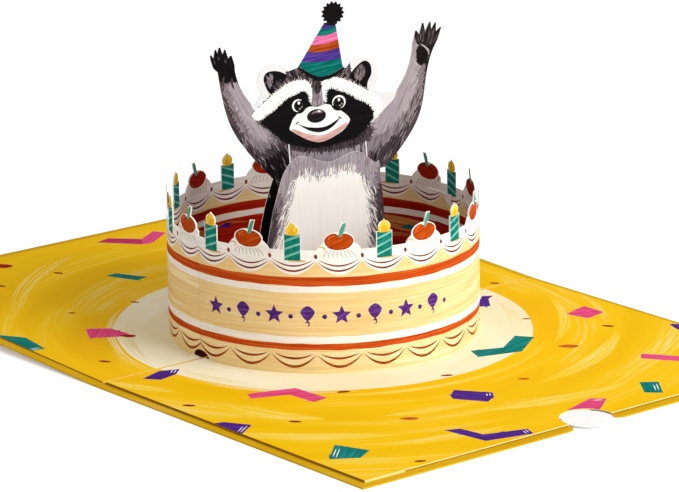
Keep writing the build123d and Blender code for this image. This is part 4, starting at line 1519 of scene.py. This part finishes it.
def paint_hat(sheet):
    """Slanted stripes, the curved brim and the pompom, on both sides."""
    left = [(-8.0, 84.6), (-4.9, 86.6), (-3.0, 89.6), (-1.6, 91.6), (0.3, 94.5), (1.65, 96.7), (3.6, 100)]
    right = [(10.4, 83.6), (8.2, 86.9), (7.6, 90.3), (7.2, 93.0), (6.8, 95.6), (6.4, 97.7), (6.6, 100)]
    colours = ("hat_teal", "hat_purple", "hat_orange", "hat_pink", "hat_teal", "hat_purple")
    brim = [(-5.9, 85.4), (-2.6, 83.0), (0.3, 81.5), (1.8, 81.3), (5.4, 82.0), (8.9, 84.0)]
    shade = smooth([(-6.2, 85.0), (-2.7, 82.4), (0.3, 80.9), (1.8, 80.7), (5.5, 81.4), (9.2, 83.6)], False)
    sheet.ink(fur(stroke(shade, 1.3)[::3], 0.4, 0.8, 22), "black")
    for k, finish in enumerate(colours):
        lower = hat_line(left[k], right[k]) if k else brim
        upper = hat_line(left[k + 1], right[k + 1])[::-1]
        sheet.ink(smooth(lower, False) + smooth(upper, False), finish, "both", 10)
    pompom = (5.6, 101.2)
    sheet.ink(oval(pompom, (5, 3.9)), "black", "both", pompom)


def paint_back(sheet):
    """The back of the head: plain fur, dark ears and the hat's shade."""
    crown = [
        (-21, 71), (-14.7, 77), (-10, 83), (-5, 85), (8.6, 84.6), (10.6, 83), (16, 77), (20, 70),
        (14, 58), (-12, 58),
    ]
    sheet.ink(fur(crown, 0.8, 1.0, 31), "fur", "back", 90)
    hairs(sheet, crown, "fur_light", 90, 90, 4.0, 81, "back")
    hairs(sheet, crown, "fur_mid", 90, 90, 4.0, 82, "back")
    dark = [(-8, 84), (0, 86), (9, 84), (8, 72), (4, 62), (-4, 62), (-8, 72)]
    sheet.ink(fur(dark, 2.4, 1.2, 32), "fur_dark", "back", 90)
    hairs(sheet, dark, "fur_black", 70, 90, 4.0, 83, "back")
    hairs(sheet, dark, "fur_mid", 40, 90, 4.0, 84, "back")
    for centre, turn in (((-14.0, 81.0), 35), ((14.8, 80.8), -35)):
        sheet.ink(oval(centre, (4.2, 3.6), turn), "black", "back", 60)


def panel_sheet(node, placing, front, back):
    """A flat sheet with the outline of an upright panel."""
    flat = placing.inverted()
    sheet = Sheet(PAPER_T, front, back)
    sheet.follow(node, lambda p: tuple((flat @ (p * MM)) / MM))
    return sheet


def figure():
    """Head, hat, arms and torso in one die-cut panel."""
    placing = upright(PANEL_GAP / 2 - PAPER_T / 2)
    # The figure's bare paper is toned grey as painted shade along its cut edges
    sheet = panel_sheet("figure_panel", placing, "margin", "margin")
    for place, top in zip((LEFT_SLIT, RIGHT_SLIT), SLIT_TOPS):
        close_slit(sheet, place, top)
    # Paper that closes the wedges between hat and head
    hat_corners = (
        [(-5.6, 85.6), (-6.6, 84.2), (-2.0, 84.2), (-1.0, 85.2)],
        [(8.3, 84.8), (4.0, 84.6), (4.0, 83.6), (9.2, 83.4)],
    )
    for corner in hat_corners:
        sheet.paper(corner)
    arms = (paint_arms, shade_left_arm, shade_right_arm, paint_left_paw, paint_right_paw)
    head = (paint_back, paint_crown, paint_ears, paint_brows, paint_mask, paint_forehead)
    face = (paint_muzzle, paint_eyes, paint_hat)
    for paint in (paint_torso, *arms, paint_chest, *head, *face):
        paint(sheet)
    piece = sheet.build("raccoon_panel")
    piece.data.transform(placing)
    return piece


def paint_flanks(sheet):
    """Dark fur down both sides of the belly, and paler shoulders above."""
    sheet.ink(block(-30, 30, -4, 64), "fur", "front", 84)
    left = [(-26, -4), (-12, -4), (-13.2, 20), (-14.2, 36), (-14.6, 43), (-17, 48), (-26, 40)]
    right = [(26, -4), (12, -4), (12.6, 20), (13.6, 34), (14, 44), (16, 49), (19, 52), (26, 40)]
    for field, flow, seed in ((left, 66, 41), (right, 116, 42)):
        sheet.ink(fur(field, 2.4, 1.2, seed), "fur_mid", "front", flow)
        hairs(sheet, field, "fur_dark", 90, flow, 5.0, seed + 50, width=0.28)
        hairs(sheet, field, "fur_black", 45, flow, 5.0, seed + 60, width=0.28)
    left = [(-26, -4), (-16.4, -4), (-17.2, 30), (-18, 42), (-26, 42)]
    right = [(26, -4), (15.8, -4), (16.6, 30), (17.4, 46), (26, 44)]
    for field, flow, seed in ((left, 70, 95), (right, 112, 96)):
        sheet.ink(fur(field, 2.6, 1.0, seed + 4), "fur_dark", "front", flow)
        hairs(sheet, field, "fur_black", 90, flow, 5.0, seed, width=0.3)
        hairs(sheet, field, "fur_mid", 35, flow, 5.0, seed + 8, width=0.22)
    shoulders = [
        (-18, 44), (-12, 59), (0, 58), (10, 61), (18, 52), (14, 47), (10, 54), (-10, 53), (-13, 44),
    ]
    hairs(sheet, shoulders, "fur_light", 60, 86, 4.0, 97, width=0.26)
    hairs(sheet, shoulders, "fur_mid", 50, 86, 4.0, 98, width=0.26)


def paint_cream(sheet):
    """The cream middle of the belly, with hairs that cross its edge."""
    cream = [
        (-14.5, -4), (-16.6, 14), (-16.8, 24), (-16.2, 30.6), (-14.2, 36), (-12.5, 41.4), (-11.0, 46.8),
        (-10.2, 50.6), (-8.8, 52.2), (-4.2, 51.2), (1.5, 51.6), (5.6, 52.6), (9.4, 51.6), (11.4, 49.6),
        (13.0, 45.6), (13.4, 36), (13.4, 24), (12.6, 8), (11.6, -4),
    ]
    fringe(sheet, cream, "fur_light", 2.6, 0.6, 43, width=0.26)
    sheet.ink(fur(cream, 1.2, 0.9, 44), "white_fur", "front", 88)
    fringe(sheet, cream, "white_fur", 2.0, 0.5, 45)
    sheet.ink(fur(cream, 0.3, 1.0, 46), "belly", "front", 90)
    hairs(sheet, cream, "white_fur", 30, 89, 6.0, 47, width=0.3)
    left = [
        (-20, 22), (-16.2, 22), (-14, 34), (-12.2, 41), (-10.4, 49.6), (-12.4, 51), (-14.8, 42),
        (-17.2, 35),
    ]
    right = [(13, 22), (16, 22), (16.2, 36), (15.6, 46), (13, 51), (11.4, 50), (13, 45), (13.2, 36)]
    top = [
        (-9.6, 54.4), (-4, 53.4), (2, 53.8), (6, 54.8), (10.6, 53.2), (9, 51.4), (5, 52), (1, 51.2),
        (-4, 50.8), (-9, 52),
    ]
    bands = (
        (left, 62, 4.4, "fur_mid", 50),
        (right, 115, 4.4, "fur_dark", 55),
        (top, 88, 3.2, "fur_mid", 40),
    )
    for seed, (field, flow, reach, finish, count) in enumerate(bands):
        hairs(sheet, field, finish, count, flow, reach, 31 + seed, width=0.2)
        hairs(sheet, field, "white_fur", 65, flow, reach, 34 + seed, width=0.24)
        hairs(sheet, field, "fur_light", 30, flow, reach, 37 + seed, width=0.18)


def belly():
    """The rounded belly in front of the torso."""
    placing = upright(-PANEL_GAP / 2 - PAPER_T / 2)
    # The belly's back is black as painted shade of the gap behind it
    sheet = panel_sheet("belly_panel", placing, "paper", "strap")
    paint_flanks(sheet)
    paint_cream(sheet)
    piece = sheet.build("raccoon_belly")
    piece.data.transform(placing)
    return piece


def panel_foot(name, x, y, level, placing, finish):
    """A flat glue foot bent from the bottom of a panel, from its left front corner."""
    width, depth = PANEL_FOOT
    sheet = Sheet(PAPER_T, finish, "paper")
    sheet.paper(block(x, x + width, y, y + depth))
    piece = sheet.build(name, PAPER_T)
    turn = Matrix.Rotation(radians(-FIGURE_TURN), 4, "Z")
    piece.data.transform(placing @ turn @ Matrix.Translation((0, 0, level * MM)))
    return piece


# The stage


def seen(tree):
    """One where the camera looks straight at a surface, and none in its reflected light."""
    return add(tree, "ShaderNodeLightPath").outputs["Is Camera Ray"]


def pale_floor():
    """A white floor that glows a little, but only as the camera sees it."""
    mesh = bpy.data.meshes.new("floor")
    corners = [(x, y, 0) for x, y in block(-FLOOR_HALF, FLOOR_HALF, -FLOOR_HALF, FLOOR_HALF)]
    mesh.from_pydata(corners, [], [(0, 1, 2, 3)])
    floor = placed("floor", mesh)
    material = bpy.data.materials.new("pale_floor")
    material.use_nodes = True
    tree = material.node_tree
    shader = tree.nodes["Principled BSDF"]
    looks = {"Base Color": (0.96, 0.96, 0.96, 1), "Roughness": 0.9, "Specular IOR Level": 0.1}
    looks["Emission Color"] = (1, 1, 1, 1)
    for name, value in looks.items():
        shader.inputs[name].default_value = value
    glow = sums(tree, "MULTIPLY", seen(tree), FLOOR_GLOW)
    tree.links.new(glow, shader.inputs["Emission Strength"])
    mesh.materials.append(material)


def even_sky():
    """White light from all round, with a plain white background."""
    world = bpy.data.worlds.new("even_sky")
    world.use_nodes = True
    tree = world.node_tree
    sky = tree.nodes["Background"]
    sky.inputs["Color"].default_value = (1, 1, 1, 1)
    values = {"Value": seen(tree), "To Min": SKY_LIGHT, "To Max": 1.0}
    level = add(tree, "ShaderNodeMapRange", values).outputs[0]
    tree.links.new(level, sky.inputs["Strength"])
    bpy.context.scene.world = world


def key_lamp():
    """A large soft lamp at the front right that faces the cake."""
    light = bpy.data.lights.new("key", "AREA")
    light.size = KEY_SIZE
    light.energy = KEY_POWER
    made = placed("key", light)
    made.location = KEY_PLACE
    aim = Vector(KEY_TARGET) - Vector(KEY_PLACE)
    made.rotation_euler = aim.to_track_quat("-Z", "Y").to_euler()


def camera():
    """The photograph's view: a long lens from the front left, a little above the card."""
    azimuth, height, roll = (radians(a) for a in (CAMERA_AZIMUTH, CAMERA_HEIGHT, CAMERA_ROLL))
    back = Vector((sin(azimuth) * cos(height), -cos(azimuth) * cos(height), sin(height)))
    level = Vector((cos(azimuth), sin(azimuth), 0))
    steep = back.cross(level)
    right = cos(roll) * level + sin(roll) * steep
    up = cos(roll) * steep - sin(roll) * level
    aside, above, away = CAMERA_PLACE
    place = aside * right + above * up + away * back + Vector((0, FOLD_Y, 0))
    data = bpy.data.cameras.new("camera")
    data.sensor_width = 36.0
    data.sensor_fit = "HORIZONTAL"
    data.lens = CAMERA_LENS
    made = placed("camera", data)
    rows = [(right[i], up[i], back[i], place[i] * MM) for i in range(3)]
    made.matrix_world = Matrix((*rows, (0, 0, 0, 1)))
    bpy.context.scene.camera = made


def dress(piece, body, slot, *nodes):
    """Put a finished piece on its body in place of its CAD nodes."""
    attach(piece, body)
    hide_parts(*nodes)


def refinish(node, finish):
    """A new finish on a CAD node that keeps its shape."""
    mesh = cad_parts[node].data
    mesh.materials.clear()
    mesh.materials.append(FINISH[finish])


dress(front_half(), "card", "liner_print", "front_liner")
dress(back_half(), "card", "liner_print", "back_liner")
# Both laps of the front wall: the seam that each is printed for, and how far it is slid from there
FRONT_LAPS = ((HALF_RING, -HALF_RING), (0.0, HALF_RING))
front_wall = wall("cake_wall_front", "cake_front", 180, True, FRONT_LAPS, True)
front_wall = join("cake_front", [front_wall, glue_feet("front_feet", 180, FRONT_TOP, FLAT)])
dress(front_wall, "card", "cake_print", "cake_wall_front")
back_wall = wall("cake_wall_back", "cake_back", 0, False, (), False)
back_wall = join("cake_back", [back_wall, glue_feet("back_feet", 0, BACK_TOP, TILT)])
dress(back_wall, "card", "cake_print", "cake_wall_back")
# The figure's foot and the spacers share the black used as painted shade of the gap
figure_foot = panel_foot("figure_foot", FIGURE_FOOT_X, PANEL_GAP / 2, BACK_TOP, TILT, "strap")
dress(join("raccoon_panel", [figure(), figure_foot]), "card", "fur_print", "figure_panel")
belly_foot_y = -PANEL_GAP / 2 - PANEL_FOOT[1]
belly_foot = panel_foot("belly_foot", BELLY_FOOT_X, belly_foot_y, FRONT_TOP, FLAT, "inner_red")
dress(join("raccoon_belly", [belly(), belly_foot]), "card", "belly_print", "belly_panel")
# The spacers are black as painted shade of the gap between the panels
plain_nodes = {"cover": "cover", "note_card": "note", "left_spacer": "strap", "right_spacer": "strap"}
for node, finish in plain_nodes.items():
    refinish(node, finish)

pale_floor()
even_sky()
key_lamp()
camera()
bpy.context.scene.view_settings.view_transform = "Standard"
